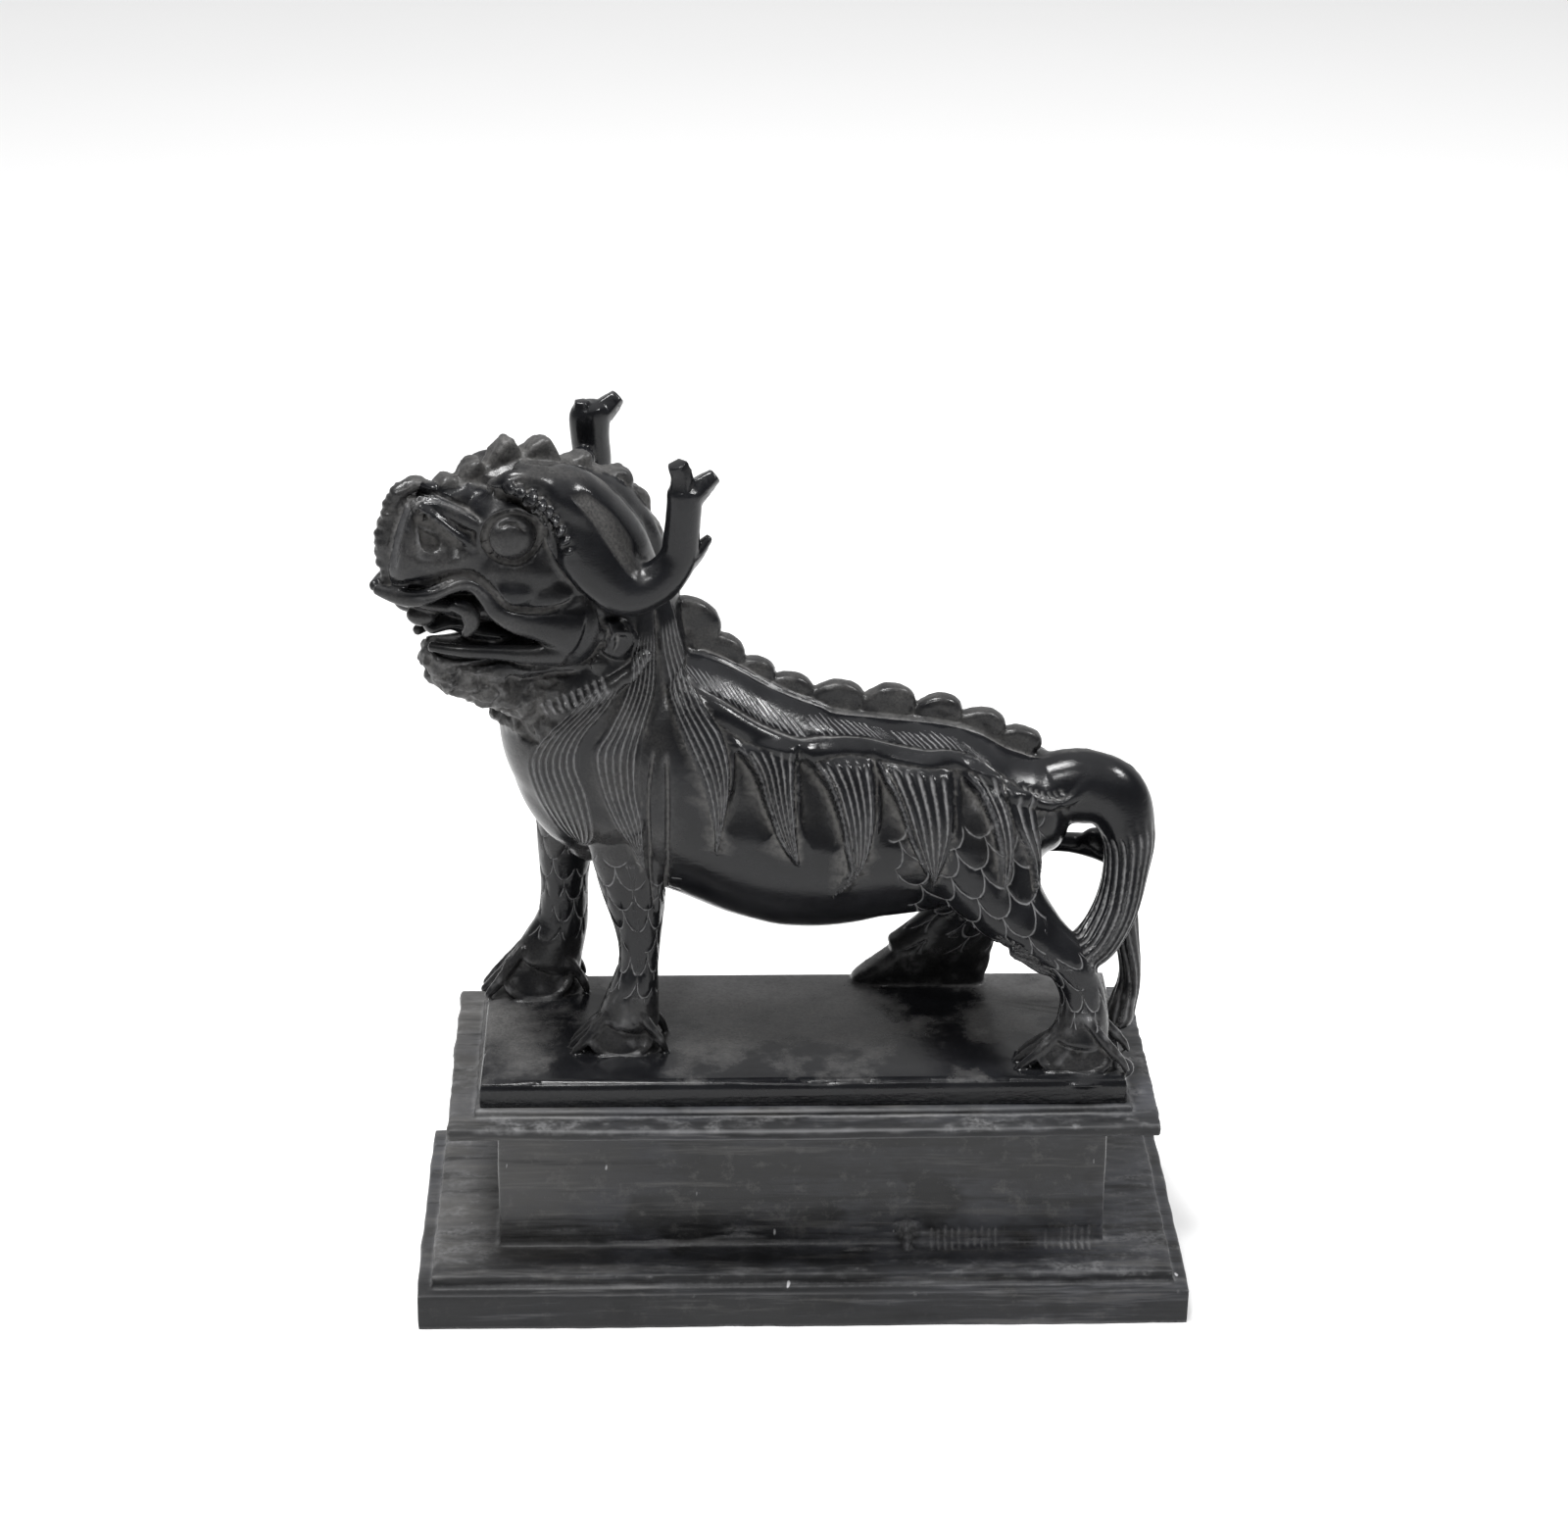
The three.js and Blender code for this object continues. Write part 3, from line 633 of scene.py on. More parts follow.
def tail():
    """The brush, its far lock, the strut between tail and rump, and the knot where the strut ends."""
    return [
        swell(TAIL_BRUSH, sides=60, rings=120, domes=(0.4, 2)),
        swell(TAIL_LOCK, sides=30, rings=60),
        swell(TAIL_STRUT, sides=24),
        egg((77, 12, 112), (4.4, 3.2, 4), 20),
    ]


COLLAR = np.array([
    [-77, 4, 153.5, 3, 2.4], [-69, -7.6, 156, 2.6, 2.4], [-60.5, -13, 160.6, 2.4, 2.4],
    [-52, -15, 166, 2.2, 2.2], [-45, -14.4, 170.4, 1.8, 1.8], [-40, -12.6, 175.5, 1, 1],
])
THROAT_Y = 5.0


def throat_collar():
    """The fringe round the throat, under the jaw, on the neck's near side and mirrored on the far one."""
    far = COLLAR * [1, -1, 1, 1, 1] + [0, 2 * THROAT_Y, 0, 0, 0]
    return [swell(rows, sides=18, rings=60) for rows in (COLLAR, far)]


# Relief: flat drawings laid over the stone


class Sheet:
    """A drawing in two coordinates, in mm: stone that stands up or is cut, paleness, mattness and combing."""

    CELL = 0.2

    def __init__(self, low, high):
        self.low = np.array(low, float)
        shape = np.ceil((np.array(high, float) - self.low) / self.CELL).astype(int) + 1
        self.rise, self.cut, self.pale, self.matt, self.comb, self.combed = (
            np.zeros(shape) for _ in range(6)
        )

    def window(self, points, margin):
        """The cells within a margin of the points, and their two coordinates."""
        first = np.floor((points.min(0) - margin - self.low) / self.CELL).astype(int)
        last = np.ceil((points.max(0) + margin - self.low) / self.CELL).astype(int)
        first = np.clip(first, 0, np.array(self.rise.shape) - 2)
        last = np.clip(last, first + 1, self.rise.shape)
        a, b = (self.low[k] + np.arange(first[k], last[k]) * self.CELL for k in (0, 1))
        return (slice(first[0], last[0]), slice(first[1], last[1])), np.meshgrid(a, b, indexing="ij")

    def near(self, points, margin, steps):
        """Window round a smooth path, and each cell's distance from it and share of its length."""
        path = smooth_path(points, steps)
        part, (a, b) = self.window(path, margin)
        start, step = path[:-1], np.diff(path, axis=0)
        da, db = a[..., None] - start[:, 0], b[..., None] - start[:, 1]
        t = np.clip((da * step[:, 0] + db * step[:, 1]) / np.maximum((step**2).sum(1), 1e-9), 0, 1)
        gap = (da - t * step[:, 0]) ** 2 + (db - t * step[:, 1]) ** 2
        best = gap.argmin(-1)[..., None]
        share = (best + np.take_along_axis(t, best, -1))[..., 0] / len(step)
        return part, np.sqrt(np.take_along_axis(gap, best, -1)[..., 0]), share

    def bead(self, points, width, power, ends, steps):
        """(1 - (distance / width)^2)^power round a path, running out over the share "ends" at both ends."""
        part, gap, share = self.near(points, width, steps)
        fade = ramp(0, 1, np.minimum(share, 1 - share) / ends + 0.15) if ends else 1
        return part, np.clip(1 - (gap / width) ** 2, 0, 1) ** power * fade

    def stroke(self, points, width, depth, pale=0.5, ends=0.2, steps=20):
        """A groove: depth * bead, and so much paler."""
        part, shape = self.bead(points, width, 1.5, ends, steps)
        self.cut[part] = np.maximum(self.cut[part], depth * shape)
        self.pale[part] = np.maximum(self.pale[part], pale * shape)

    def ridge(self, points, width, height, ends=0.15, steps=30):
        """A rounded ridge: height * bead."""
        part, shape = self.bead(points, width, 0.7, ends, steps)
        self.rise[part] = np.maximum(self.rise[part], height * shape)

    def spread(self, left, right, rows=520, columns=170):
        """Cells of the patch between two edges, with their shares t and s: place = left (1 - s) + right s."""
        t = np.linspace(0, 1, rows)[:, None]
        s = np.linspace(0, 1, columns)[None]
        a, b = smooth_path(left, rows), smooth_path(right, rows)
        place = a[:, None] * (1 - s[..., None]) + b[:, None] * s[..., None]
        cell = np.rint((place - self.low) / self.CELL).astype(int)
        cell = np.clip(cell, 0, np.array(self.rise.shape) - 1)
        return (cell[..., 0], cell[..., 1]), t + 0 * s, s + 0 * t

    def lock(self, left, right, lift, lines, depth, sharp=6):
        """A pointed lock of hair: a bank of the given lift with rounded edges, combed from root to tip.

        bank = lift * (1 - |2s - 1|^sharp) * (0.72 + 0.28 s): the edge towards the tail stands higher.
        """
        cells, t, s = self.spread(left, right)
        bank = (1 - np.abs(2 * s - 1) ** sharp) * ramp(0, 0.12, t) * (0.72 + 0.28 * s)
        self.rise[cells] = lift * bank
        self.cut[cells] = 0
        self.comb[cells] = lines * s
        ends = ramp(0.06, 0.18, t) * ramp(1, 0.95, t)
        self.combed[cells] = ends * ramp(0.0, 0.06, s) * ramp(1, 0.94, s)
        self.cut[cells] = depth * comb_line(self.comb[cells]) * self.combed[cells]

    def hollow(self, left, right, depth, matt=0.1):
        """A sunk field with a rounded bottom edge between two locks."""
        cells, t, s = self.spread(left, right)
        bowl = (1 - np.abs(2 * s - 1) ** 6) * ramp(0, 0.08, t) * ramp(1, 0.5, t)
        self.cut[cells] = np.maximum(self.cut[cells], depth * bowl)
        self.matt[cells] = np.maximum(self.matt[cells], matt * bowl)

    def ticks(self, foot_row, top_row, lines):
        """Parallel cuts along a strip, from its lower towards its upper edge, some shorter than others."""
        cells, along, across = self.spread(foot_row, top_row, rows=420, columns=60)
        self.comb[cells] = lines * along
        reach = 0.8 + 0.2 * np.sin(7 * lines * along) * np.sin(3 * along * lines)
        mask = ramp(0, 0.1, across) * ramp(reach, reach - 0.12, across)
        self.combed[cells] = mask * ramp(0, 0.02, along) * ramp(1, 0.98, along)
        self.cut[cells] = np.maximum(self.cut[cells], 0.06 * comb_line(self.comb[cells]) * self.combed[cells])

    def run_out(self, cells=7):
        """Carry the combing's count some cells past each lock's edge, so that no lines crowd there."""
        for _ in range(cells):
            for axis, step in ((0, 1), (0, -1), (1, 1), (1, -1)):
                beside = np.roll(self.comb, step, axis)
                self.comb = np.where(self.comb == 0, beside, self.comb)
        return self

    def read(self, a, b):
        """Rise less cut, paleness, mattness, combing and its mask, weighed by nearness between the cells."""
        place = np.stack([(a - self.low[0]) / self.CELL, (b - self.low[1]) / self.CELL])
        inside = (place[0] > 0) & (place[1] > 0)
        inside &= (place[0] < self.rise.shape[0] - 2) & (place[1] < self.rise.shape[1] - 2)
        place = np.where(inside, place, 0)
        i, j = place.astype(int)
        x, y = place - np.stack([i, j])
        found = []
        for layer in (self.rise - self.cut, self.pale, self.matt, self.comb, self.combed):
            low = layer[i, j] * (1 - x) + layer[i + 1, j] * x
            high = layer[i, j + 1] * (1 - x) + layer[i + 1, j + 1] * x
            found.append(np.where(inside, low * (1 - y) + high * y, 0))
        return found


def comb_line(phase):
    """A narrow cut at every whole number: ((1 + cos(2 pi phase)) / 2)^3."""
    return ((1 + np.cos(2 * math.pi * phase)) / 2) ** 3


TURN_MM = 0.45  # length of one degree round the trunk
BAND_GROOVE = np.array([
    [-33, 66], [-26.8, 57], [-20.5, 55], [-14.2, 53], [-8.7, 52], [-1.6, 52], [4.8, 57], [10.4, 60],
    [15.9, 60], [20.6, 58], [26.9, 56], [31.6, 55], [36.5, 57], [41.3, 56], [45.3, 52], [49.2, 45],
    [53, 36], [57.9, 30], [63, 24], [68, 30], [71, 48],
]) * [1, TURN_MM]
CREST_FOOT = np.array([
    [-31, 80], [-16, 80], [1, 80], [19, 80], [35, 80], [47, 80], [56, 79], [62, 76],
]) * [1, TURN_MM]
TICK_PATCHES = [(-31, 2, 19), (3, 22, 11), (23, 42, 11), (43, 51, 4)]  # from x to x, and the number of ticks


def mantle_sheet():
    """The band beside the spine, in x and turn round the trunk (90 degrees is the spine)."""
    sheet = Sheet((-45, -60 * TURN_MM), (80, 95 * TURN_MM))
    sheet.ridge(BAND_GROOVE - [0, 2.4], 3.0, 1.9)
    sheet.stroke(BAND_GROOVE, 0.9, 1.3, pale=0.25, steps=60)
    sheet.stroke(CREST_FOOT, 0.8, 0.7, pale=0.3, steps=60)
    path = smooth_path(BAND_GROOVE, 400)
    for low, high, lines in TICK_PATCHES:
        foot_row = path[(path[:, 0] >= low) & (path[:, 0] <= high) & (path[:, 0] < 51)][::6]
        sheet.ticks(foot_row + [0.8, 0.7], foot_row + [-5, 7], lines)
    for x in np.arange(57, 68, 1.6):
        row = path[np.abs(path[:, 0] - x).argmin()] + [0.4, 0.8]
        sheet.stroke([row, row + [-1.2, 2], row + [-1.4, 3.6]], 0.5, 0.6, pale=0.5, steps=6)
    return sheet.run_out()


# Locks of the flank in x and z: edges from the root to the shared tip, and the number of comb lines
FLANK_LOCKS = [
    (
        [[-37.3, 190], [-36.6, 176], [-34.4, 164], [-30.4, 154], [-25.6, 142], [-23, 131], [-22.2, 122]],
        [[-34, 190], [-31.6, 176], [-26.6, 163], [-20.6, 154.5], [-18.8, 143], [-22.2, 122]],
        6,
    ),
    (
        [[-19, 153.5], [-12.5, 145.5], [-9.4, 136.8], [-6, 128], [-1.3, 119.5]],
        [[-1.5, 150.5], [-2.4, 141], [-2, 131], [-1.3, 119.5]],
        6,
    ),
    (
        [[-1, 149.5], [5.8, 141], [9, 133.5], [11.2, 124], [12, 117.5], [7.6, 109.8]],
        [[17.5, 148], [18.3, 138], [18, 130.8], [15.2, 119.4], [7.6, 109.8]],
        6,
    ),
    (
        [[17.5, 147], [23.6, 136.5], [27.2, 127.5], [33.4, 113.5]],
        [[37.6, 144.5], [38.2, 133], [37.4, 124.6], [33.4, 113.5]],
        6,
    ),
    (
        [[38.5, 144.5], [45.5, 136.5], [49, 127.2], [50.4, 113.5]],
        [[47.6, 142], [51.8, 132], [52.6, 122.5], [50.4, 113.5]],
        3,
    ),
    ([[49, 139], [53, 129], [56.6, 121], [58.6, 111]], [[58, 136], [58.6, 128], [59.4, 121], [58.6, 111]], 3),
]
FLANK_HOLLOWS = [
    (
        [[-17.4, 151.5], [-18.2, 141.5], [-20.4, 132], [-16.6, 124]],
        [[-12.6, 148], [-9.8, 141], [-6.8, 131], [-12, 124]],
        2.2,
    ),
    (
        [[-1.2, 147.5], [-1.4, 139], [-0.8, 130], [2.6, 122.5]],
        [[4.8, 144.5], [8.8, 135], [10.4, 127], [6, 121.5]], 2.2,
    ),
    ([[19, 142], [19, 132.5], [17.4, 123]], [[22.8, 138.5], [26.2, 130.5], [25.5, 121.5]], 1.8),
    ([[39.2, 142], [39.2, 132.5], [38.6, 122]], [[43.8, 137.5], [47.8, 129.5], [48.4, 118]], 1.4),
]


CHEST_LOCK = (
    [[-47, 176], [-58, 163], [-66, 154], [-70, 146], [-68.6, 137], [-63, 125], [-56, 118.6]],
    [[-43.5, 176], [-47, 165], [-54, 156], [-56, 148], [-53, 138], [-52.5, 127], [-56, 118.6]],
)
SHOULDER_LOCK = np.array([
    [
        [-41.5, 190], [-42.8, 177], [-45, 167], [-50, 157], [-53.6, 150.5], [-51.4, 140], [-46.3, 128.6],
        [-40.3, 117],
    ],
    [
        [-37.4, 190], [-37.2, 176], [-37.4, 166], [-39.4, 158], [-40.6, 150], [-41.2, 141], [-40.4, 132],
        [-40.3, 117],
    ],
])
FAR_SHIFT = -17  # the far shoulder stands so much further forward
LEG_CREASES = [
    ([[-37.8, 152], [-39.4, 140], [-39.2, 126], [-38.6, 116], [-37.6, 104]], 0.7, 1.2),
    ([[-34.6, 151], [-34.4, 138], [-34.6, 122], [-35, 106]], 0.8, 1.3),
]


def flank_sheet(near):
    """Locks, hollows and combed mane of one side, in x and z."""
    sheet = Sheet((-80, 60), (70, 200))
    for left, right, depth in FLANK_HOLLOWS:
        sheet.hollow(left, right, depth)
    sheet.lock(*CHEST_LOCK, 0.5, 8, 0.55, sharp=4)
    stretch = ramp(160, 140, SHOULDER_LOCK[0, :, 1])[:, None] * [0 if near else FAR_SHIFT, 0]
    sheet.lock(*(SHOULDER_LOCK + stretch), 1.3, 7, 0.6)
    for left, right, lines in FLANK_LOCKS:
        sheet.lock(left, right, 2.3, lines, 0.6)
    for left, _, _ in FLANK_LOCKS[1:5]:
        sheet.ridge(left, 1.1, 2.5, ends=0.3)
    for x in np.arange(-66, -49, 1.9):
        z = 163 + (x + 65.5) * 0.5
        sheet.stroke([[x, z], [x + 1, z - 1.6], [x + 1.7, z - 3.4]], 0.55, 0.6, pale=1.0, ends=0.05, steps=8)
    for points, width, depth in LEG_CREASES if near else ():
        sheet.stroke(points, width, depth, pale=0.2, ends=0.1)
    return sheet.run_out()


# Grooves of the face in the head's forward and up: points, width, depth, paleness
FACE_STROKES = [
    (
        [
            [50, -12.8], [46.5, -12.2], [43.2, -11], [40.9, -9], [38.4, -7.2], [35.4, -6.2], [32, -6.8],
            [28.6, -8.8], [25.6, -11.4], [22.2, -12.7], [15.6, -12.2], [9.4, -9.8], [6.8, -6.8],
        ],
        0.95, 1.5, 0.15,
    ),
    ([[48, -15.8], [42.4, -13.4], [38.6, -10.4], [35.2, -8.9], [31.8, -9.5], [28.3, -12]], 0.45, 0.35, 0.2),
    (
        [
            [1, -9.5], [-1.6, -12.6], [-3.4, -16.2], [-3, -20], [-1.4, -24], [2.4, -27], [8, -29],
            [15, -28.8], [18.5, -28], [22.1, -29.4], [27.3, -32], [31.4, -33.6], [35, -33],
        ],
        1, 1.7, 0.2,
    ),
    ([[-0.8, -27.4], [5, -31], [12, -33.4], [20, -33.4], [26, -36.4]], 0.7, 0.9, 0.3),
    (
        [[36, 12.4], [33.8, 14.6], [30.5, 14.6], [25.7, 13.9], [20.6, 11], [17.8, 5.8], [14.4, 0.8]],
        1.5, 1.6, 0.0,
    ),
    (
        [
            [51, -10.4], [51.6, -7], [52, -2.8], [51.8, 2], [51, 5.6], [49.4, 8.4], [46.6, 9.8], [42.4, 9.8],
            [37.6, 8.8], [33, 7.4],
        ],
        0.6, 0.9, 0.3,
    ),
    ([[30.8, 7.2], [29.4, 8.6], [27.4, 9], [25.4, 8.4], [23.8, 7.2]], 0.8, 1.2, 0.1),
    ([[-5.4, -15], [-6.6, -18], [-6.2, -21]], 0.5, 0.6, 0.3),
    ([[36.6, -29.6], [31, -30.4], [26, -29.6], [18, -28]], 0.5, 0.6, 0.2),
    ([[33, -34.5], [30.6, -32.8], [28, -34.4], [29.4, -37.4], [32.6, -38.2]], 0.6, 0.9, 0.3),
    ([[26.4, -33.4], [23.6, -34.4], [22.4, -37.4], [25, -39.6], [28.4, -39.2]], 0.6, 0.9, 0.3),
    ([[20, -34.8], [17, -37.6], [18.6, -41.4], [22.4, -42]], 0.6, 0.9, 0.3),
]


def face_sheet():
    """The nostril's hollows and the grooves of the face and the eye, in the head's forward and up."""
    sheet = Sheet((-30, -52), (60, 35))
    sheet.hollow(
        [[49.4, 7], [51, 3], [50.8, -3], [47, -7]], [[46, 5.4], [40.6, 2.6], [36.6, -0.6], [41, -6.4]],
        2.3, matt=0.45,
    )
    sheet.hollow([[48.6, 4.2], [48, 0.4], [46, -5]], [[43, 2.2], [42.4, -0.6], [44.6, -4.6]], 4.4, matt=0.7)
    for points, width, depth, pale in FACE_STROKES:
        sheet.stroke(points, width, depth, pale=pale, steps=36)
    sheet.stroke([[48.6, 3.6], [47.8, -1], [46.4, -5]], 0.45, 0.3, pale=0.8)
    turn = np.linspace(0, 2 * math.pi, 30)
    ring = np.stack([EYE_AT[0] + 7.1 * np.cos(turn), EYE_AT[2] + 6.3 * np.sin(turn)], 1)
    sheet.stroke(ring, 0.9, 1.5, pale=0.1, ends=0, steps=90)
    return sheet


def antler_sheet():
    """A shallow matt band between a horn root's rim and lower edge, in the head's forward and up."""
    sheet = Sheet((-30, -20), (32, 40))
    sheet.hollow(
        [[17, 19], [10, 13], [5, 8], [-1, 2.6], [-8.6, -0.6]],
        [[13, 20.6], [4.6, 16], [-1.6, 10.6], [-4, 5.6], [-8.6, 2]],
        0.6, matt=0.6,
    )
    return sheet


def oval_gap(a, b, pitch, row):
    """Distance in scale-sizes from the edge of the nearest scale: lower halves of ovals in staggered rows."""
    level = np.floor(b / row) + 1
    shift = 0.5 * (level % 2)
    middle = (np.rint(a / pitch - shift) + shift) * pitch
    return np.hypot((a - middle) / (pitch / 2), (level * row - b) / row) - 1


def ripple(points, size, seed):
    """Soft unevenness between about -1 and 1: the mean of nine sine waves in set directions."""
    draw = np.random.default_rng(seed)
    heading = unit(draw.normal(size=(9, 3))) * draw.uniform(0.7, 1.5, (9, 1))
    phase = draw.uniform(0, 2 * math.pi, 9)
    waves = np.sin(points @ heading.T * (2 * math.pi / size) + phase)
    return waves.mean(1) * 1.8


GRAIN_CUBES = 48


def grain(points, size, seed):
    """Uneven ground between about -1 and 1.

    Random heights stand at the corners of cubes of the given size, and again of about half of it. Between
    them a height is the corners' mean, each weighed by t * t * (3 - 2 t) of its nearness along each edge.
    """
    heights = np.random.default_rng(seed).uniform(-1, 1, (GRAIN_CUBES,) * 3)
    ground = np.zeros(len(points))
    for finer, share in ((1, 1.0), (2.1, 0.55)):
        place = points * (finer / size)
        corner = np.floor(place).astype(int)
        t = place - corner
        t = t * t * (3 - 2 * t)
        for step in np.ndindex(2, 2, 2):
            weight = np.where(np.array(step) == 1, t, 1 - t).prod(1)
            ground += share * weight * heights[tuple(((corner + step) % GRAIN_CUBES).T)]
    return ground


# Skins: fused meshes as arrays


def put(name, points, faces):
    """A new mesh object from arrays in mm."""
    mesh = bpy.data.meshes.new(name)
    mesh.vertices.add(len(points))
    mesh.vertices.foreach_set("co", (points * MM).astype(np.float32).ravel())
    mesh.loops.add(3 * len(faces))
    mesh.loops.foreach_set("vertex_index", faces.astype(np.int32).ravel())
    mesh.polygons.add(len(faces))
    mesh.polygons.foreach_set("loop_start", np.arange(0, 3 * len(faces), 3, dtype=np.int32))
    mesh.update(calc_edges=True)
    mesh.validate()
    piece = bpy.data.objects.new(name, mesh)
    bpy.context.scene.collection.objects.link(piece)
    return piece


def finish_modifier(piece):
    """Takes the modifiers' result as the piece's own mesh."""
    bpy.context.view_layer.update()
    held = piece.data
    shaped = piece.evaluated_get(bpy.context.evaluated_depsgraph_get())
    piece.data = bpy.data.meshes.new_from_object(shaped)
    piece.modifiers.clear()
    bpy.data.meshes.remove(held)


def fused(name, pieces, cell):
    """All pieces as one closed skin on a grid of the given cell, in mm."""
    piece = put(name, *gathered(pieces))
    remesh = piece.modifiers.new("fuse", "REMESH")
    remesh.mode = "VOXEL"
    remesh.voxel_size = cell * MM
    remesh.use_smooth_shade = True
    finish_modifier(piece)
    return piece


def places(mesh):
    """The mesh's points in mm."""
    co = np.empty(len(mesh.vertices) * 3, np.float32)
    mesh.vertices.foreach_get("co", co)
    return co.reshape(-1, 3).astype(float) / MM


def outward(mesh):
    """The direction away from the stone at every point."""
    normal = np.empty(len(mesh.vertices) * 3, np.float32)
    mesh.vertex_normals.foreach_get("vector", normal)
    return normal.reshape(-1, 3).astype(float)


def move_to(mesh, points):
    """Moves the mesh's points to places in mm."""
    mesh.vertices.foreach_set("co", (points * MM).astype(np.float32).ravel())
    mesh.update()


class Neighbours:
    """Means over the points that share an edge with each point."""

    def __init__(self, mesh):
        pair = np.empty(len(mesh.edges) * 2, np.int32)
        mesh.edges.foreach_get("vertices", pair)
        pair = pair.reshape(-1, 2)
        self.to = pair.ravel()
        self.of = pair[:, ::-1].ravel()
        self.count = np.maximum(np.bincount(self.to, minlength=len(mesh.vertices)), 1)

    def mean(self, values):
        flat = values.reshape(len(self.count), -1)
        sums = [
            np.bincount(self.to, weights=flat[self.of, k], minlength=len(flat)) for k in range(flat.shape[1])
        ]
        return (np.stack(sums, 1) / self.count[:, None]).reshape(values.shape)


def eased(points, neighbours, times):
    """Smoothing that keeps the size: a step of a half towards the neighbours' mean, then one of 0.53 back."""
    for _ in range(times):
        for step in (0.5, -0.53):
            points = points + step * (neighbours.mean(points) - points)
    return points


def recess(points, normal, neighbours, times):
    """How far a point lies below its surroundings, in mm, averaged over the given number of rounds."""
    soft = points
    for _ in range(times):
        soft = soft + 0.7 * (neighbours.mean(soft) - soft)
    return ((soft - points) * normal).sum(1)


def thinned(piece, triangles):
    """The mesh brought to the given number of triangles, the flattest places first."""
    piece.data.calc_loop_triangles()
    have = len(piece.data.loop_triangles)
    if have > triangles:
        thin = piece.modifiers.new("thin", "DECIMATE")
        thin.ratio = triangles / have
        finish_modifier(piece)


def mark(mesh, name, values):
    """A number for each point of the mesh, which the material reads."""
    layer = mesh.attributes.get(name) or mesh.attributes.new(name, "FLOAT", "POINT")
    layer.data.foreach_set("value", np.asarray(values, np.float32))


def triangles_of(mesh):
    """The mesh's triangles as rows of three point numbers."""
    mesh.calc_loop_triangles()
    corners = np.empty(len(mesh.loop_triangles) * 3, np.int32)
    mesh.loop_triangles.foreach_get("vertices", corners)
    return corners.reshape(-1, 3)


def eased_masses(name, pieces, cell, rounds):
    """Broad forms fused and smoothed together, so that they flow into each other, as points and triangles."""
    piece = fused(name, pieces, cell)
    points = eased(places(piece.data), Neighbours(piece.data), rounds)
    faces = triangles_of(piece.data)
    mesh = piece.data
    bpy.data.objects.remove(piece)
    bpy.data.meshes.remove(mesh)
    return points, faces


# Cutting the relief


def round_path(points, stations, margin):
    """Points near an oval sweep: which, share of its length, turn about it, and height, 1 on its skin."""
    rows = smooth_path(stations, 90)
    low, high = rows[:, :3].min(0) - margin, rows[:, :3].max(0) + margin
    near = np.flatnonzero(((points > low) & (points < high)).all(1))
    local = points[near]
    gap = ((local[:, None] - rows[None, :, :3]) ** 2).sum(-1)
    best = gap.argmin(1)
    _, across, out = path_frame(rows, (0, 1, 0))
    step = local - rows[best, :3]
    a, b = (step * across[best]).sum(1) / rows[best, 3], (step * out[best]).sum(1) / rows[best, 4]
    return near, best / (len(rows) - 1), np.arctan2(b, a), np.hypot(a, b)


class Relief:
    """What is laid on every point: height in mm, paleness, mattness, combing and scales with their masks."""

    NAMES = ("add", "pale", "matt", "comb", "combed", "scale_a", "scale_b", "scaled")

    def __init__(self, count):
        for name in self.NAMES:
            setattr(self, name, np.zeros(count))

    def at_least(self, name, values):
        """Raises a layer to the given values where it is lower."""
        setattr(self, name, np.maximum(getattr(self, name), values))

    def lay(self, found, weight):
        """A sheet's reading, weighed: heights add up, elsewhere the stronger one stays."""
        add, pale, matt, comb, combed = found
        self.add += add * weight
        self.at_least("pale", pale * weight)
        self.at_least("matt", matt * weight)
        take = ((combed * weight) > self.combed) | ((self.comb == 0) & (self.combed == 0))
        self.comb = np.where(take, comb, self.comb)
        self.combed = np.where(take, combed * weight, self.combed)

    def comb_round(self, near, share, turn, on, lines, start, depth, twist):
        """Comb lines along a round form, from the share "start" to its end."""
        phase = lines * turn / (2 * math.pi) + twist * share
        mask = ramp(start, start + 0.1, share) * ramp(1.35, 1.2, on) * ramp(0.5, 0.7, on)
        self.comb[near] = np.where((mask > 0) | (self.combed[near] == 0), phase, self.comb[near])
        self.combed[near] = np.maximum(self.combed[near], mask)
        self.add[near] -= depth * comb_line(phase) * mask

    def scale(self, where, a, b, pitch, row, mask):
        """Scales in the lattice a and b, kept in units of their own pitch and row."""
        mask = mask * (1 - self.combed[where])
        take = (mask > self.scaled[where]) | (self.scale_a[where] == 0)
        self.scale_a[where] = np.where(take, a / pitch, self.scale_a[where])
        self.scale_b[where] = np.where(take, b / row, self.scale_b[where])
        self.scaled[where] = np.where(take, mask, self.scaled[where])
        gap = oval_gap(a, b, pitch, row)
        self.add[where] -= (0.26 * np.clip(1 - (gap / 0.1) ** 2, 0, 1) - 0.08) * np.where(take, mask, 0)


# Width of a scale and height of a row of scales, in mm, and how many go round a leg
LEG_PITCH, LEG_ROW, ROUND_LEG = 5.83, 6.2, 7
THIGH_PITCH, THIGH_ROW = 8.2, 7.0
THIGH_MIDDLE = (40, 110)  # in x and z: the scales' rows lean about it
THIGH_LEAN = math.radians(24)
LEG_SCALES = ((78, 121), (80, 123), (75, 98), (74, 98))  # from which height to which, leg by leg


def leg_scales(relief, points, stations, low, high):
    """Rows of scales round a leg, between two heights: along a row by turn round its path, up by height."""
    near, _, turn, on = round_path(points, stations, 14)
    local = points[near]
    mask = ramp(1.6, 1.4, on) * ramp(low, low + 3, local[:, 2]) * ramp(high, high - 3, local[:, 2])
    mask = mask * ramp(-0.7, -0.2, ripple(local, size=11, seed=31))
    relief.scale(near, turn / (2 * math.pi) * ROUND_LEG * LEG_PITCH, local[:, 2], LEG_PITCH, LEG_ROW, mask)


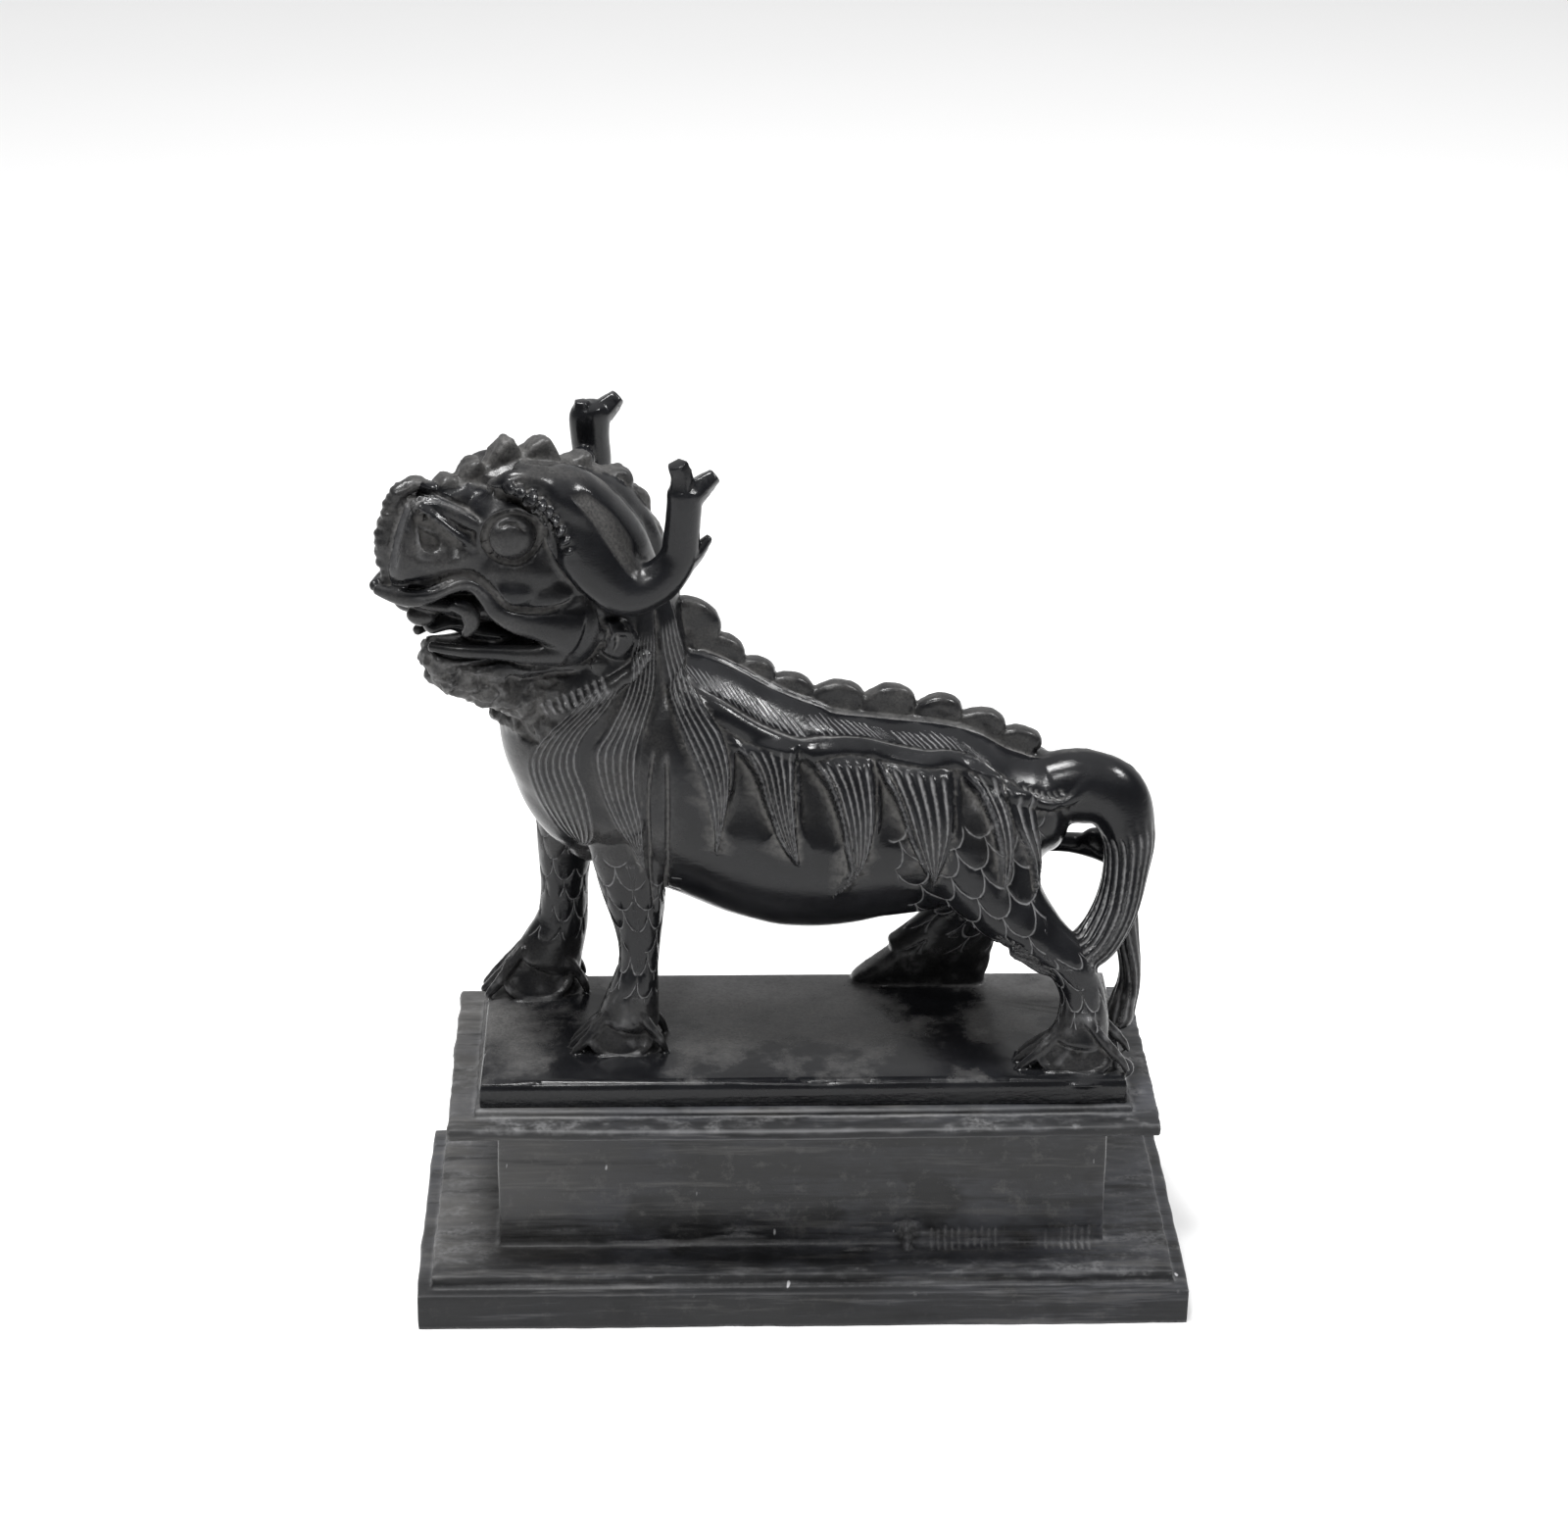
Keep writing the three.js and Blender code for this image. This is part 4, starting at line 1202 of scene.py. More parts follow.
class Skin:
    """The beast's points in the statue's frame (x, y, z) and in the head's (u, v, w), and how they lie.

    turn and reach are a point's angle in the trunk's oval and its distance in half-sizes, 1 on the skin.
    outer and sideways say how far the skin faces away from the trunk's and from the head's middle plane.
    """

    def __init__(self, points, normal):
        self.points = points
        self.x, self.y, self.z = points.T
        self.u, self.v, self.w = ((points - HEAD_AT) @ HEAD_AXES).T
        self.off_middle = np.abs(self.y - BODY_Y)
        middle, wide, tall = (np.interp(self.x, TRUNK[:, 0], TRUNK[:, k]) for k in (1, 2, 3))
        across, up = self.off_middle / wide, (self.z - middle) / tall
        self.turn = np.degrees(np.arctan2(up, across))
        self.reach = np.hypot(across, up)
        self.outer = np.where(self.y < BODY_Y, -normal[:, 1], normal[:, 1])
        self.sideways = (normal @ HEAD_AXES)[:, 1] * np.sign(self.v)


def cut_trunk(relief, skin):
    """The mantle beside the spine and, below its groove and off the head, the locks of both flanks."""
    x, y = skin.x, skin.y
    on_trunk = ramp(0.7, 0.85, skin.reach) * ramp(1.45, 1.3, skin.reach)
    on_trunk *= ramp(-40, -34, x) * ramp(2.6, 3.4, skin.off_middle) * (skin.z > 95)
    relief.lay(mantle_sheet().read(x, skin.turn * TURN_MM), on_trunk)
    groove = np.interp(x, BAND_GROOVE[:, 0], BAND_GROOVE[:, 1])
    below_band = ramp(-0.8, -1.8, skin.turn * TURN_MM - groove)
    below_band = np.maximum(below_band, ramp(-29, -32, x))
    facing = ramp(-0.02, 0.12, skin.outer) * below_band * (x < 62) * (skin.off_middle > 8)
    off_head = np.maximum(ramp(-13, -17, skin.w - 0.35 * skin.u), ramp(-30, -26, x))
    behind = ramp(-9.5, -12, skin.u) * ramp(-3, -6, skin.w) * ramp(24, 22, np.abs(skin.v))
    off_head = np.maximum(off_head, behind)
    for near, side in ((True, y < BODY_Y), (False, y >= BODY_Y)):
        relief.lay(flank_sheet(near).read(x, skin.z), facing * side * off_head)


def cut_head(relief, skin):
    """The grooves of the face, and the matt band on the roots of the horns."""
    aside = np.abs(skin.v)
    sideways = ramp(0.0, 0.2, skin.sideways)
    relief.lay(face_sheet().read(skin.u, skin.w), sideways * ramp(22.5, 20.5, aside) * (aside > 2.5))
    on_root = ramp(12, 14, aside) * (skin.sideways > 0)
    relief.lay(antler_sheet().read(skin.u, skin.w), sideways * on_root)


def cut_limbs(relief, skin):
    """Comb lines of the tail's brush and lock, then the scales of the legs and of the thigh."""
    points, x, z = skin.points, skin.x, skin.z
    relief.comb_round(*round_path(points, TAIL_BRUSH, 14), lines=17, start=0.34, depth=0.75, twist=1.5)
    relief.comb_round(*round_path(points, TAIL_LOCK, 7), lines=8, start=0.02, depth=0.5, twist=2.5)
    for stations, (low, high) in zip(LEGS, LEG_SCALES):
        leg_scales(relief, points, stations, low, high)
    thigh = ramp(17, 21, x) * ramp(63, 60, x) * (z > 92) * ramp(132, 128, z)
    thigh *= (skin.off_middle > 10) * ramp(0.1, 0.3, skin.outer)
    right, up = x - THIGH_MIDDLE[0], z - THIGH_MIDDLE[1]
    a = right * math.cos(THIGH_LEAN) + up * math.sin(THIGH_LEAN)
    b = up * math.cos(THIGH_LEAN) - right * math.sin(THIGH_LEAN)
    thigh *= ramp(-1.5, 1.5, (x - 19) * 0.72 - (z - 118.5) * 0.2) * ramp(23, 27, x + (z - 112) * 0.3)
    relief.scale(slice(None), a, b, THIGH_PITCH, THIGH_ROW, thigh)


def roughen(relief, skin):
    """Grain and patchy dust on the crests, the snout's rim, the beard and the forehead."""
    points, u, v, w = skin.points, skin.u, skin.v, skin.w
    on_line = np.abs(v) < 3.4
    fins = (skin.off_middle < 3.6) & (skin.turn > 70) & (skin.x > -38)
    fins |= on_line & ((w > 12) | (u < -8)) & (w > -17)
    fins |= on_line & (u > 48) & (w > -15)
    beard = ramp(-29, -32, w + 0.1 * np.abs(v)) * ramp(0, 4, u) * (u < 45) * (w > -50)
    forehead = ramp(12, 10, np.abs(v)) * ramp(13, 16, w) * ramp(12, 16, u)
    rough = np.maximum(np.maximum(fins.astype(float), beard), 0.6 * forehead)
    back = ramp(-22, -26, u)
    relief.add += rough * (1 - 0.6 * back) * (0.4 + 0.6 * beard) * grain(points, size=2.6, seed=5)
    patchy = 0.55 + 0.3 * grain(points, size=3.5, seed=12)
    relief.at_least("matt", (patchy - 0.25 * back) * rough * np.where(u > 50.5, 0.5, 1))


def lay_dust(relief, skin):
    """Dust in clouds on eyes, cheeks, neck and feet, pale spots on the toes, and faint waves all over."""
    points, x, z, u, v, w = skin.points, skin.x, skin.z, skin.u, skin.v, skin.w
    eye = ramp(1.2, 0.95, np.hypot((u - EYE_AT[0]) / 8, (w - EYE_AT[2]) / 7)) * (np.abs(v) > 9)
    cheek = ramp(-0.5, 1.0, grain(points, size=5, seed=8)) * ramp(-4, 4, u) * (np.abs(v) > 5)
    cheek *= ramp(-16, -9, w) * ramp(19, 14, np.abs(v))
    neck = ramp(-30, -38, x) * (z > 105) * ramp(-13, -17, w)
    neck = neck * ramp(-0.9, 0.9, grain(points, size=9, seed=19))
    hoof = ramp(79, 75, z) * ramp(65.4, 66.4, z)
    relief.add += 0.1 * hoof * grain(points, size=2.0, seed=44)
    foot_dust = ramp(86, 76, z) * ramp(-1.0, 0.5, grain(points, size=4, seed=9)) * (z > 65.8)
    for mask, strength in ((eye, 0.2), (cheek, 0.45), (neck, 0.3), (foot_dust, 0.22)):
        relief.at_least("matt", strength * mask)
    spots = ramp(0.35, 0.8, grain(points, size=2.2, seed=10))
    relief.at_least("pale", 0.35 * ramp(83, 79, z) * spots * (z > 67))
    relief.add += 0.1 * ripple(points, size=16, seed=3) * (z > 66)


def wear_tablet(relief, skin):
    """Rounds and chips the tablet's upper edges, and clears its dust: its powder and painted sheen are the
    material's.
    """
    x, y, z = skin.x, skin.y, skin.z
    long, wide, _, high = TABLET
    drop = np.maximum(high - z, 0)
    edge = np.minimum(np.hypot(drop, long / 2 - np.abs(x)), np.hypot(drop, wide / 2 - np.abs(y)))
    edge = ramp(2.6, 0, edge) * (z < high + 0.5)
    relief.add -= edge * (0.75 + 0.35 * ramp(0.7, 1.2, grain(skin.points, size=2.5, seed=43)))
    for name in ("matt", "pale"):
        setattr(relief, name, np.where(z < high + 0.6, 0, getattr(relief, name)))


def cut_beast(points, normal):
    """The relief of every point of the beast's skin."""
    relief, skin = Relief(len(points)), Skin(points, normal)
    for part in (cut_trunk, cut_head, cut_limbs, roughen, lay_dust, wear_tablet):
        part(relief, skin)
    return relief


MASSES_CELL = 0.7  # cell of the grid that fuses the broad forms, in mm
MASSES_ROUNDS = 34  # rounds that smooth the broad forms together
CRISP_ROUNDS = 3  # rounds that take the grid's steps off a whole piece


def fused_and_eased(name, pieces, cell):
    """All pieces as one skin without grid steps: the object, its neighbours and its points."""
    piece = fused(name, pieces, cell)
    neighbours = Neighbours(piece.data)
    points = eased(places(piece.data), neighbours, CRISP_ROUNDS)
    move_to(piece.data, points)
    return piece, neighbours, points


def carve_beast(cell, triangles):
    """The beast with its tablet: broad forms smoothed, crisp ones fused on, relief cut, finishes marked."""
    broad = [*trunk_and_neck(), *legs(), *tail(), *[on_head(piece) for piece in head_masses()]]
    masses = eased_masses("masses", broad, MASSES_CELL, MASSES_ROUNDS)
    feet = [part for row in FEET for part in foot(*row)]
    crisp = [
        *feet, *back_crest(), *throat_collar(), *[on_head(piece) for piece in head_details()], box(*TABLET)
    ]
    piece, neighbours, points = fused_and_eased("guardian_beast_carving", [masses, *crisp], cell)
    mesh = piece.data
    relief = cut_beast(points, outward(mesh))
    points = points + outward(mesh) * relief.add[:, None]
    points[:, 2] = np.maximum(points[:, 2], TABLET[2])
    move_to(mesh, points)
    normal = outward(mesh)
    fine = recess(points, normal, neighbours, times=4)
    broad_recess = recess(points, normal, neighbours, times=60)
    mark(mesh, "pale", np.clip(relief.pale, 0, 1))
    mark(mesh, "lined", ramp(0.06, 0.22, fine))
    mark(mesh, "dust", ramp(0.2, 1.5, broad_recess))
    mark(mesh, "matt", relief.matt)
    # wear and painted highlight: convex edges, lightened in the material
    mark(mesh, "worn", ramp(-0.1, -0.3, fine) * ramp(0, -0.6, broad_recess))
    for name in ("comb", "combed", "scale_a", "scale_b", "scaled"):
        mark(mesh, name, getattr(relief, name))
    thinned(piece, triangles)
    return piece


NOTCH_AT = (27.5, -27, 16.5)  # a nick at the foot of the upright block's near side


def plinth_marks(points):
    """Chisel cuts at the foot of the upright block's near side: a notch, short strokes and long skids."""
    x, y, z = points.T
    near_face = (y < -20) & (y > -29) & (z > 13) & (z < 53)
    notch = np.clip(1 - np.abs(x - NOTCH_AT[0]) / (1 + 0.45 * (z - 13.5)), 0, 1) * ramp(20.5, 19.5, z)
    strokes = comb_line((x + 0.5) / 1.9) * ramp(19, 17.5, z + 0.6 * np.sin(1.3 * x)) * (x > 33) * (x < 76)
    strokes = strokes * ramp(-0.5, 0.6, grain(points * [1, 1, 0], size=5, seed=33))
    skid = ramp(0.3, 0.8, grain(points * [0.25, 1, 2.2], size=4, seed=21)) * ramp(22, 15, z)
    return np.maximum.reduce([0 * x, 1.7 * notch, 0.5 * strokes, 0.42 * skid]) * near_face


def carve_plinth(cell, triangles):
    """The base's blocks as one skin, with waves, rough ledges, chipped edges, cuts and a bowed near face."""
    blocks = [box(*size) for size in (SLAB, TIER, DADO, PLATE, LEDGE)]
    piece, neighbours, points = fused_and_eased("plinth_carving", blocks, cell)
    mesh = piece.data
    normal = outward(mesh)
    x, y, z = points.T
    wave = 0.36 * ripple(points * [1, 1, 0.4], size=46, seed=11) + 0.16 * ripple(points, size=12, seed=12)
    upright = 1 - np.abs(normal[:, 2])
    bow = 1.3 * (1 - (x / 100) ** 2) * (y < -20) * ramp(50, 53, z)
    ledges = (np.abs(z - TIER[3]) < 1.5) | (np.abs(z - LEDGE[3]) < 1.4) | (np.abs(z - PLATE[3]) < 1.2)
    rough = ledges * ramp(0.75, 0.85, np.maximum(np.abs(x) / 96, np.abs(y) / 41))
    rough = np.maximum(rough, ramp(11.5, 13, z) * ramp(17, 14, z) * 0.5)
    add = wave * (0.35 + 0.65 * upright) + rough * 0.22 * grain(points * [0.5, 1, 1], size=3, seed=14)
    cut = plinth_marks(points)
    edge = ramp(0.03, 0.2, -recess(points, normal, neighbours, times=6))
    cut += edge * (0.1 + 0.7 * ramp(0.75, 1.3, grain(points, size=3, seed=16)))
    points = points + normal * (add - cut)[:, None]
    points[:, 1] -= bow * upright
    points[:, 2] = np.clip(points[:, 2], 0, LEDGE[3])
    points[z < 0.4, 2] = 0
    move_to(mesh, points)
    normal = outward(mesh)
    fine = recess(points, normal, neighbours, times=3)
    broad = recess(points, normal, neighbours, times=30)
    clouds = grain(points * [0.4, 1, 1], size=9, seed=17)
    powder = 0.6 * clouds + 0.6 * grain(points * [0.6, 1, 1], size=2, seed=18)
    pale = np.maximum(ramp(0.04, 0.2, fine) * 0.6, ramp(0.1, 0.3, cut) * 0.4)
    mark(mesh, "pale", np.maximum(pale, rough * ramp(-0.2, 1.1, powder) * 0.55))
    mark(mesh, "dust", ramp(0.1, 0.8, broad))
    # wear and painted highlight: convex edges, lightened in the material
    mark(mesh, "worn", ramp(-0.1, -0.35, fine))
    thinned(piece, triangles)
    return piece


# Finishes


class Nodes:
    """Short names for laying out the nodes of a new material or world."""

    def __init__(self, owner, coordinates="Object"):
        self.owner = owner
        owner.use_nodes = True
        self.tree = owner.node_tree
        self.tree.nodes.clear()
        self.place = self.add("ShaderNodeTexCoord").outputs[coordinates]

    def add(self, kind, **values):
        """A new node with the given settings."""
        node = self.tree.nodes.new(kind)
        for name, value in values.items():
            setattr(node, name, value)
        return node

    def feed(self, socket, source):
        """Links another node's socket to this one, or sets this one to a plain value."""
        if isinstance(source, bpy.types.NodeSocket):
            self.tree.links.new(source, socket)
        else:
            socket.default_value = source

    def noise(self, scale, detail=3.0, roughness=0.55, stretch=(1, 1, 1)):
        """Clouds in the piece's own coordinates, drawn out along the axes."""
        mapping = self.add("ShaderNodeMapping")
        mapping.inputs["Scale"].default_value = stretch
        self.feed(mapping.inputs["Vector"], self.place)
        node = self.add("ShaderNodeTexNoise")
        self.feed(node.inputs["Vector"], mapping.outputs["Vector"])
        self.feed(node.inputs["Scale"], scale)
        self.feed(node.inputs["Detail"], detail)
        self.feed(node.inputs["Roughness"], roughness)
        return node.outputs["Fac"]

    def mark(self, name):
        """A number stored on the mesh."""
        return self.add("ShaderNodeAttribute", attribute_name=name).outputs["Fac"]

    def spread(self, value, low, high, to_low=0.0, to_high=1.0, kind="LINEAR"):
        """A value between low and high brought between two others."""
        node = self.add("ShaderNodeMapRange", interpolation_type=kind)
        for k, v in enumerate((value, low, high, to_low, to_high)):
            self.feed(node.inputs[k], v)
        return node.outputs["Result"]

    def work(self, operation, *values):
        """One sum on numbers."""
        node = self.add("ShaderNodeMath", operation=operation)
        for socket, value in zip(node.inputs, values):
            self.feed(socket, value)
        return node.outputs["Value"]

    def blend(self, share, a, b):
        """Colour a turning to colour b by the share."""
        node = self.add("ShaderNodeMix", data_type="RGBA")
        self.feed(node.inputs["Factor"], share)
        for socket, value in ((node.inputs[6], a), (node.inputs[7], b)):
            self.feed(socket, value if isinstance(value, bpy.types.NodeSocket) else (*value, 1))
        return node.outputs[2]

    def over(self, ground, colour, mask, *texture):
        """A colour over the ground as far as the mask goes, broken up by a spread texture."""
        return self.blend(self.work("MULTIPLY", mask, self.spread(*texture)), ground, colour)

    def bump(self, height, strength, distance, before=None):
        """Fine unevenness of the surface, over another bump if there is one."""
        node = self.add("ShaderNodeBump")
        self.feed(node.inputs["Height"], height)
        self.feed(node.inputs["Strength"], strength)
        self.feed(node.inputs["Distance"], distance)
        if before is not None:
            self.feed(node.inputs["Normal"], before)
        return node.outputs["Normal"]

    def stone(self, colour, roughness, normal, specular):
        """The finished material: its surface, joined to its output."""
        shader = self.add("ShaderNodeBsdfPrincipled")
        self.feed(shader.inputs["Base Color"], colour)
        self.feed(shader.inputs["Roughness"], roughness)
        self.feed(shader.inputs["Normal"], normal)
        shader.inputs["IOR"].default_value = 1.5
        shader.inputs["Specular IOR Level"].default_value = specular
        output = self.add("ShaderNodeOutputMaterial")
        self.feed(output.inputs["Surface"], shader.outputs["BSDF"])
        return self.owner

    def along(self, axis):
        """The place along one axis of the piece, in metres."""
        apart = self.add("ShaderNodeSeparateXYZ")
        self.feed(apart.inputs["Vector"], self.place)
        return apart.outputs[axis]

    def near(self, point, far, close):
        """1 within the close distance of a point, 0 beyond the far one."""
        node = self.add("ShaderNodeVectorMath", operation="DISTANCE")
        self.feed(node.inputs[0], self.place)
        node.inputs[1].default_value = point
        return self.spread(node.outputs["Value"], far, close)

    def tablet_powder_and_sheen(self):
        """Pale powder on the tablet's top, more towards the head, and more towards the back, where it is also
        a painted sheen of the light from behind; none round the near feet.
        """
        x, y, z = (self.along(axis) for axis in "XYZ")
        # painted sheen: the cloud rises towards the back (+Y), as a reflection of the light from behind
        slope = self.work("MULTIPLY_ADD", x, -0.7, self.work("MULTIPLY", y, 4.5))
        cloud = self.work("ADD", self.noise(46, 5, 0.62), slope)
        for foot_x, foot_y, long in [row[:3] for row in FEET]:
            place = (foot_x * MM, foot_y * MM, TABLET[3] * MM)
            close = self.near(place, (long + 13) * MM, long * 0.7 * MM)
            cloud = self.work("MULTIPLY_ADD", close, -0.22, cloud)
        top = self.work("MULTIPLY", self.spread(z, 0.0638, 0.0644), self.spread(z, 0.0664, 0.0655))
        return self.work("MULTIPLY", self.spread(cloud, 0.38, 0.64), top)

    def comb_lines(self):
        """Narrow lines at the combing's whole numbers: ((1 + cos(2 pi comb)) / 2)^5, within its mask."""
        wave = self.work("COSINE", self.work("MULTIPLY", self.mark("comb"), 2 * math.pi), 0)
        line = self.work("POWER", self.work("MULTIPLY_ADD", wave, 0.5, 0.5), 5)
        return self.work("MULTIPLY", line, self.spread(self.mark("combed"), 0.3, 0.75))

    def scale_lines(self):
        """Edges of staggered half-ovals, in scale pitches and rows, as in the relief."""
        a, b = self.mark("scale_a"), self.mark("scale_b")
        level = self.work("ADD", self.work("FLOOR", b, 0), 1)
        shift = self.work("MULTIPLY", self.work("MODULO", level, 2), 0.5)
        middle = self.work("ADD", self.work("ROUND", self.work("SUBTRACT", a, shift), 0), shift)
        x = self.work("MULTIPLY", self.work("SUBTRACT", a, middle), 2)
        y = self.work("SUBTRACT", level, b)
        square = self.work("ADD", self.work("MULTIPLY", x, x), self.work("MULTIPLY", y, y))
        gap = self.work("ABSOLUTE", self.work("SUBTRACT", self.work("SQRT", square, 0), 1), 0)
        return self.work(
            "MULTIPLY", self.spread(gap, 0.06, 0.015), self.spread(self.mark("scaled"), 0.35, 0.65)
        )


def shade(colour, factor):
    """A colour made lighter or darker."""
    return tuple(v * factor for v in colour)


def polished_stone(finish):
    """Black stone: polished ridges, pale scored lines, matt brown-grey dust in the recesses, edges lightened
    by wear and painted highlight, and painted sheen at the tablet's back.
    """
    n = Nodes(bpy.data.materials.new("polished_black_stone"))
    pale, dust, matt, worn, lined = (n.mark(name) for name in ("pale", "dust", "matt", "worn", "lined"))
    # tablet powder and painted sheen: matt and pale on the tablet's top
    powder = n.tablet_powder_and_sheen()
    matt = n.work("MAXIMUM", matt, powder)
    # painted reflection: paler towards the tablet's back
    pale = n.work(
        "MAXIMUM", pale, n.work("MULTIPLY", powder, n.spread(n.along("Y"), 0.01, 0.031, 0.16, 0.75))
    )
    cloud = n.noise(90, 4)
    speck = n.noise(900, 2)
    grit = n.noise(1500, 3, 0.7)
    scored = n.work("MAXIMUM", n.comb_lines(), n.scale_lines())
    scored = n.work("MULTIPLY", scored, n.spread(cloud, 0.3, 0.6, 0.45, 0.9))
    stone, dusty, fresh = tuple(finish.stone), tuple(finish.dust), tuple(finish.scored)
    ground = n.blend(n.spread(cloud, 0.35, 0.7), stone, shade(stone, 1.7))
    ground = n.over(ground, dusty, matt, grit, 0.3, 0.65, 0.25, 1)
    ground = n.over(ground, dusty, dust, speck, 0.35, 0.65, 0.3, 0.9)
    ground = n.over(ground, dusty, lined, speck, 0.3, 0.6, 0.3, 0.8)
    ground = n.over(ground, fresh, n.work("MAXIMUM", pale, scored), speck, 0.3, 0.6, 0.6, 1.0)
    # wear and painted highlight: convex edges blended towards the pale colour
    ground = n.over(ground, fresh, worn, speck, 0.35, 0.65, 0.08, 0.4)
    rough = n.spread(cloud, 0.3, 0.7, finish.gloss - 0.04, finish.gloss + 0.1)
    for mask in (matt, dust):
        rough = n.work("ADD", rough, n.work("MULTIPLY", mask, 0.35))
    rough = n.work("MINIMUM", n.work("ADD", rough, n.work("MULTIPLY", scored, 0.5)), 0.85)
    normal = n.bump(n.work("MULTIPLY", scored, -1), 0.6, 0.0003)
    normal = n.bump(n.noise(2600, 3, 0.6), 0.3, 0.0001, normal)
    normal = n.bump(n.noise(300, 3, 0.6, (1, 1, 2.5)), 0.16, 0.0004, normal)
    return n.stone(ground, rough, normal, 0.28)


def honed_stone(finish):
    """The same stone rubbed dull: cloudy greys, powder on ledges, fine straight scratches, white nicks, edges
    lightened by wear and painted highlight, and painted shade on the near face and in the notch.
    """
    n = Nodes(bpy.data.materials.new("honed_black_stone"))
    pale, dust, worn = (n.mark(name) for name in ("pale", "dust", "worn"))
    cloud = n.noise(30, 5, 0.65, (0.6, 1, 1.2))
    blot = n.noise(70, 3, 0.5, (0.7, 1, 1))
    speck = n.noise(800, 2)
    streak = n.noise(170, 4, 0.65, (0.1, 1, 1.6))
    nick = n.spread(n.noise(420, 1, 0.5, (1, 0.5, 0.35)), 0.79, 0.83)
    stone, dusty, fresh = tuple(finish.stone), tuple(finish.dust), tuple(finish.scored)
    ground = n.blend(n.spread(cloud, 0.4, 0.6), stone, shade(stone, 7))
    ground = n.blend(n.spread(blot, 0.54, 0.64, 0, 0.9), ground, shade(stone, 0.5))
    head_end = n.spread(n.work("MULTIPLY_ADD", cloud, 0.1, n.along("X")), 0.01, -0.05, 0, 0.5)
    ground = n.over(ground, dusty, head_end, n.along("Z"), 0.009, 0.012, 0, 1)
    ground = n.blend(n.spread(streak, 0.46, 0.36, 0, 0.8), ground, shade(stone, 0.5))
    ground = n.blend(n.spread(streak, 0.54, 0.7, 0, 0.55), ground, dusty)
    ground = n.blend(n.spread(n.noise(260, 4, 0.7), 0.55, 0.7, 0, 0.35), ground, dusty)
    # painted shade: the plinth's near faces are turned back towards the plain dark stone
    front = n.spread(n.along("Y"), -0.029, -0.037, 0, 0.8)
    ground = n.over(ground, stone, front, streak, 0.62, 0.5, 0.2, 1)
    # painted shade: the notch is darkened to a third of the stone's colour
    ground = n.blend(n.near([v * MM for v in NOTCH_AT], 0.0045, 0.003), ground, shade(stone, 0.3))
    ground = n.over(ground, fresh, dust, streak, 0.4, 0.7, 0.0, 0.35)
    ground = n.over(ground, fresh, pale, speck, 0.35, 0.6, 0.2, 0.9)
    # wear and painted highlight: worn edges lightened along with the white nicks
    nicks = n.work("MAXIMUM", n.work("MULTIPLY", worn, 0.25), n.work("MULTIPLY", nick, 0.9))
    ground = n.blend(nicks, ground, shade(fresh, 2))
    rough = n.spread(cloud, 0.35, 0.65, finish.honed - 0.12, finish.honed + 0.12)
    rough = n.work(
        "MINIMUM", n.work("ADD", rough, n.work("MULTIPLY", n.work("MAXIMUM", pale, front), 0.3)), 0.9
    )
    normal = n.bump(n.noise(1900, 3, 0.6), 0.35, 0.0001)
    normal = n.bump(streak, 0.35, 0.0004, normal)
    return n.stone(ground, rough, normal, 0.42)


# What a user sets


def tint(name, description, default):
    """A colour that the user can set."""
    return bpy.props.FloatVectorProperty(name=name, description=description, subtype="COLOR", default=default)


def number(name, description, default, **limits):
    """A number that the user can set."""
    return bpy.props.FloatProperty(name=name, description=description, default=default, **limits)


def whole(name, description, default):
    """A whole number that the user can set."""
    return bpy.props.IntProperty(name=name, description=description, default=default)


class CarvingSizes(bpy.types.PropertyGroup):
    """How finely the pieces are carved"""

    beast_cell: number("Beast grain", "Cell of the grid that fuses the beast, in mm", 0.42, min=0.3)
    plinth_cell: number("Plinth grain", "Cell of the grid that fuses the plinth, in mm", 0.6, min=0.3)
    beast_triangles: whole("Beast triangles", "Most triangles of the beast's mesh", 196000)
    plinth_triangles: whole("Plinth triangles", "Most triangles of the plinth's mesh", 120000)


class StoneFinish(bpy.types.PropertyGroup):
    """Colours and polish of the stone"""

    stone: tint("Stone", "Colour of the polished stone", (0.0055, 0.0057, 0.0066))
    # also the colour of the painted highlight on worn edges and of the tablet's painted sheen
    scored: tint("Scored lines", "Colour of fresh cuts and powder", (0.21, 0.21, 0.215))
    dust: tint("Dust", "Colour of dust in the recesses", (0.1, 0.097, 0.093))
    gloss: number("Polished roughness", "Roughness of the polished stone", 0.15, min=0, max=1)
    honed: number("Honed roughness", "Roughness of the rubbed stone of the plinth", 0.42, min=0, max=1)


class StageSettings(bpy.types.PropertyGroup):
    """Floor and lights"""

    floor: tint("Floor", "Colour of the floor", (0.86, 0.86, 0.86))
    overhead: number("Overhead light", "Strength of the soft light from above", 0.95)
    backdrop: number("Backdrop", "Strength of the light from behind", 0.65)
    fill: number("Fill light", "Strength of the light from the sides", 0.07)
    skirt: number("Skirt light", "Strength of the light just over the floor", 0.34)
    front: number("Front light", "Strength of the light from the front", 4.5, unit="POWER")
    key: number("Key light", "Strength of the main light", 22.0, unit="POWER")
    rim: number("Side light", "Strength of the light from the tail's side", 11.0, unit="POWER")


# Making the pieces


def finished(piece, material, node):
    """Material, smooth faces, a place under the root body, and the part of the node that the piece stands for
    hidden.
    """
    piece.data.materials.clear()
    piece.data.materials.append(material)
    piece.data.polygons.foreach_set("use_smooth", np.ones(len(piece.data.polygons), bool))
    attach(piece, "root")
    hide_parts(node)


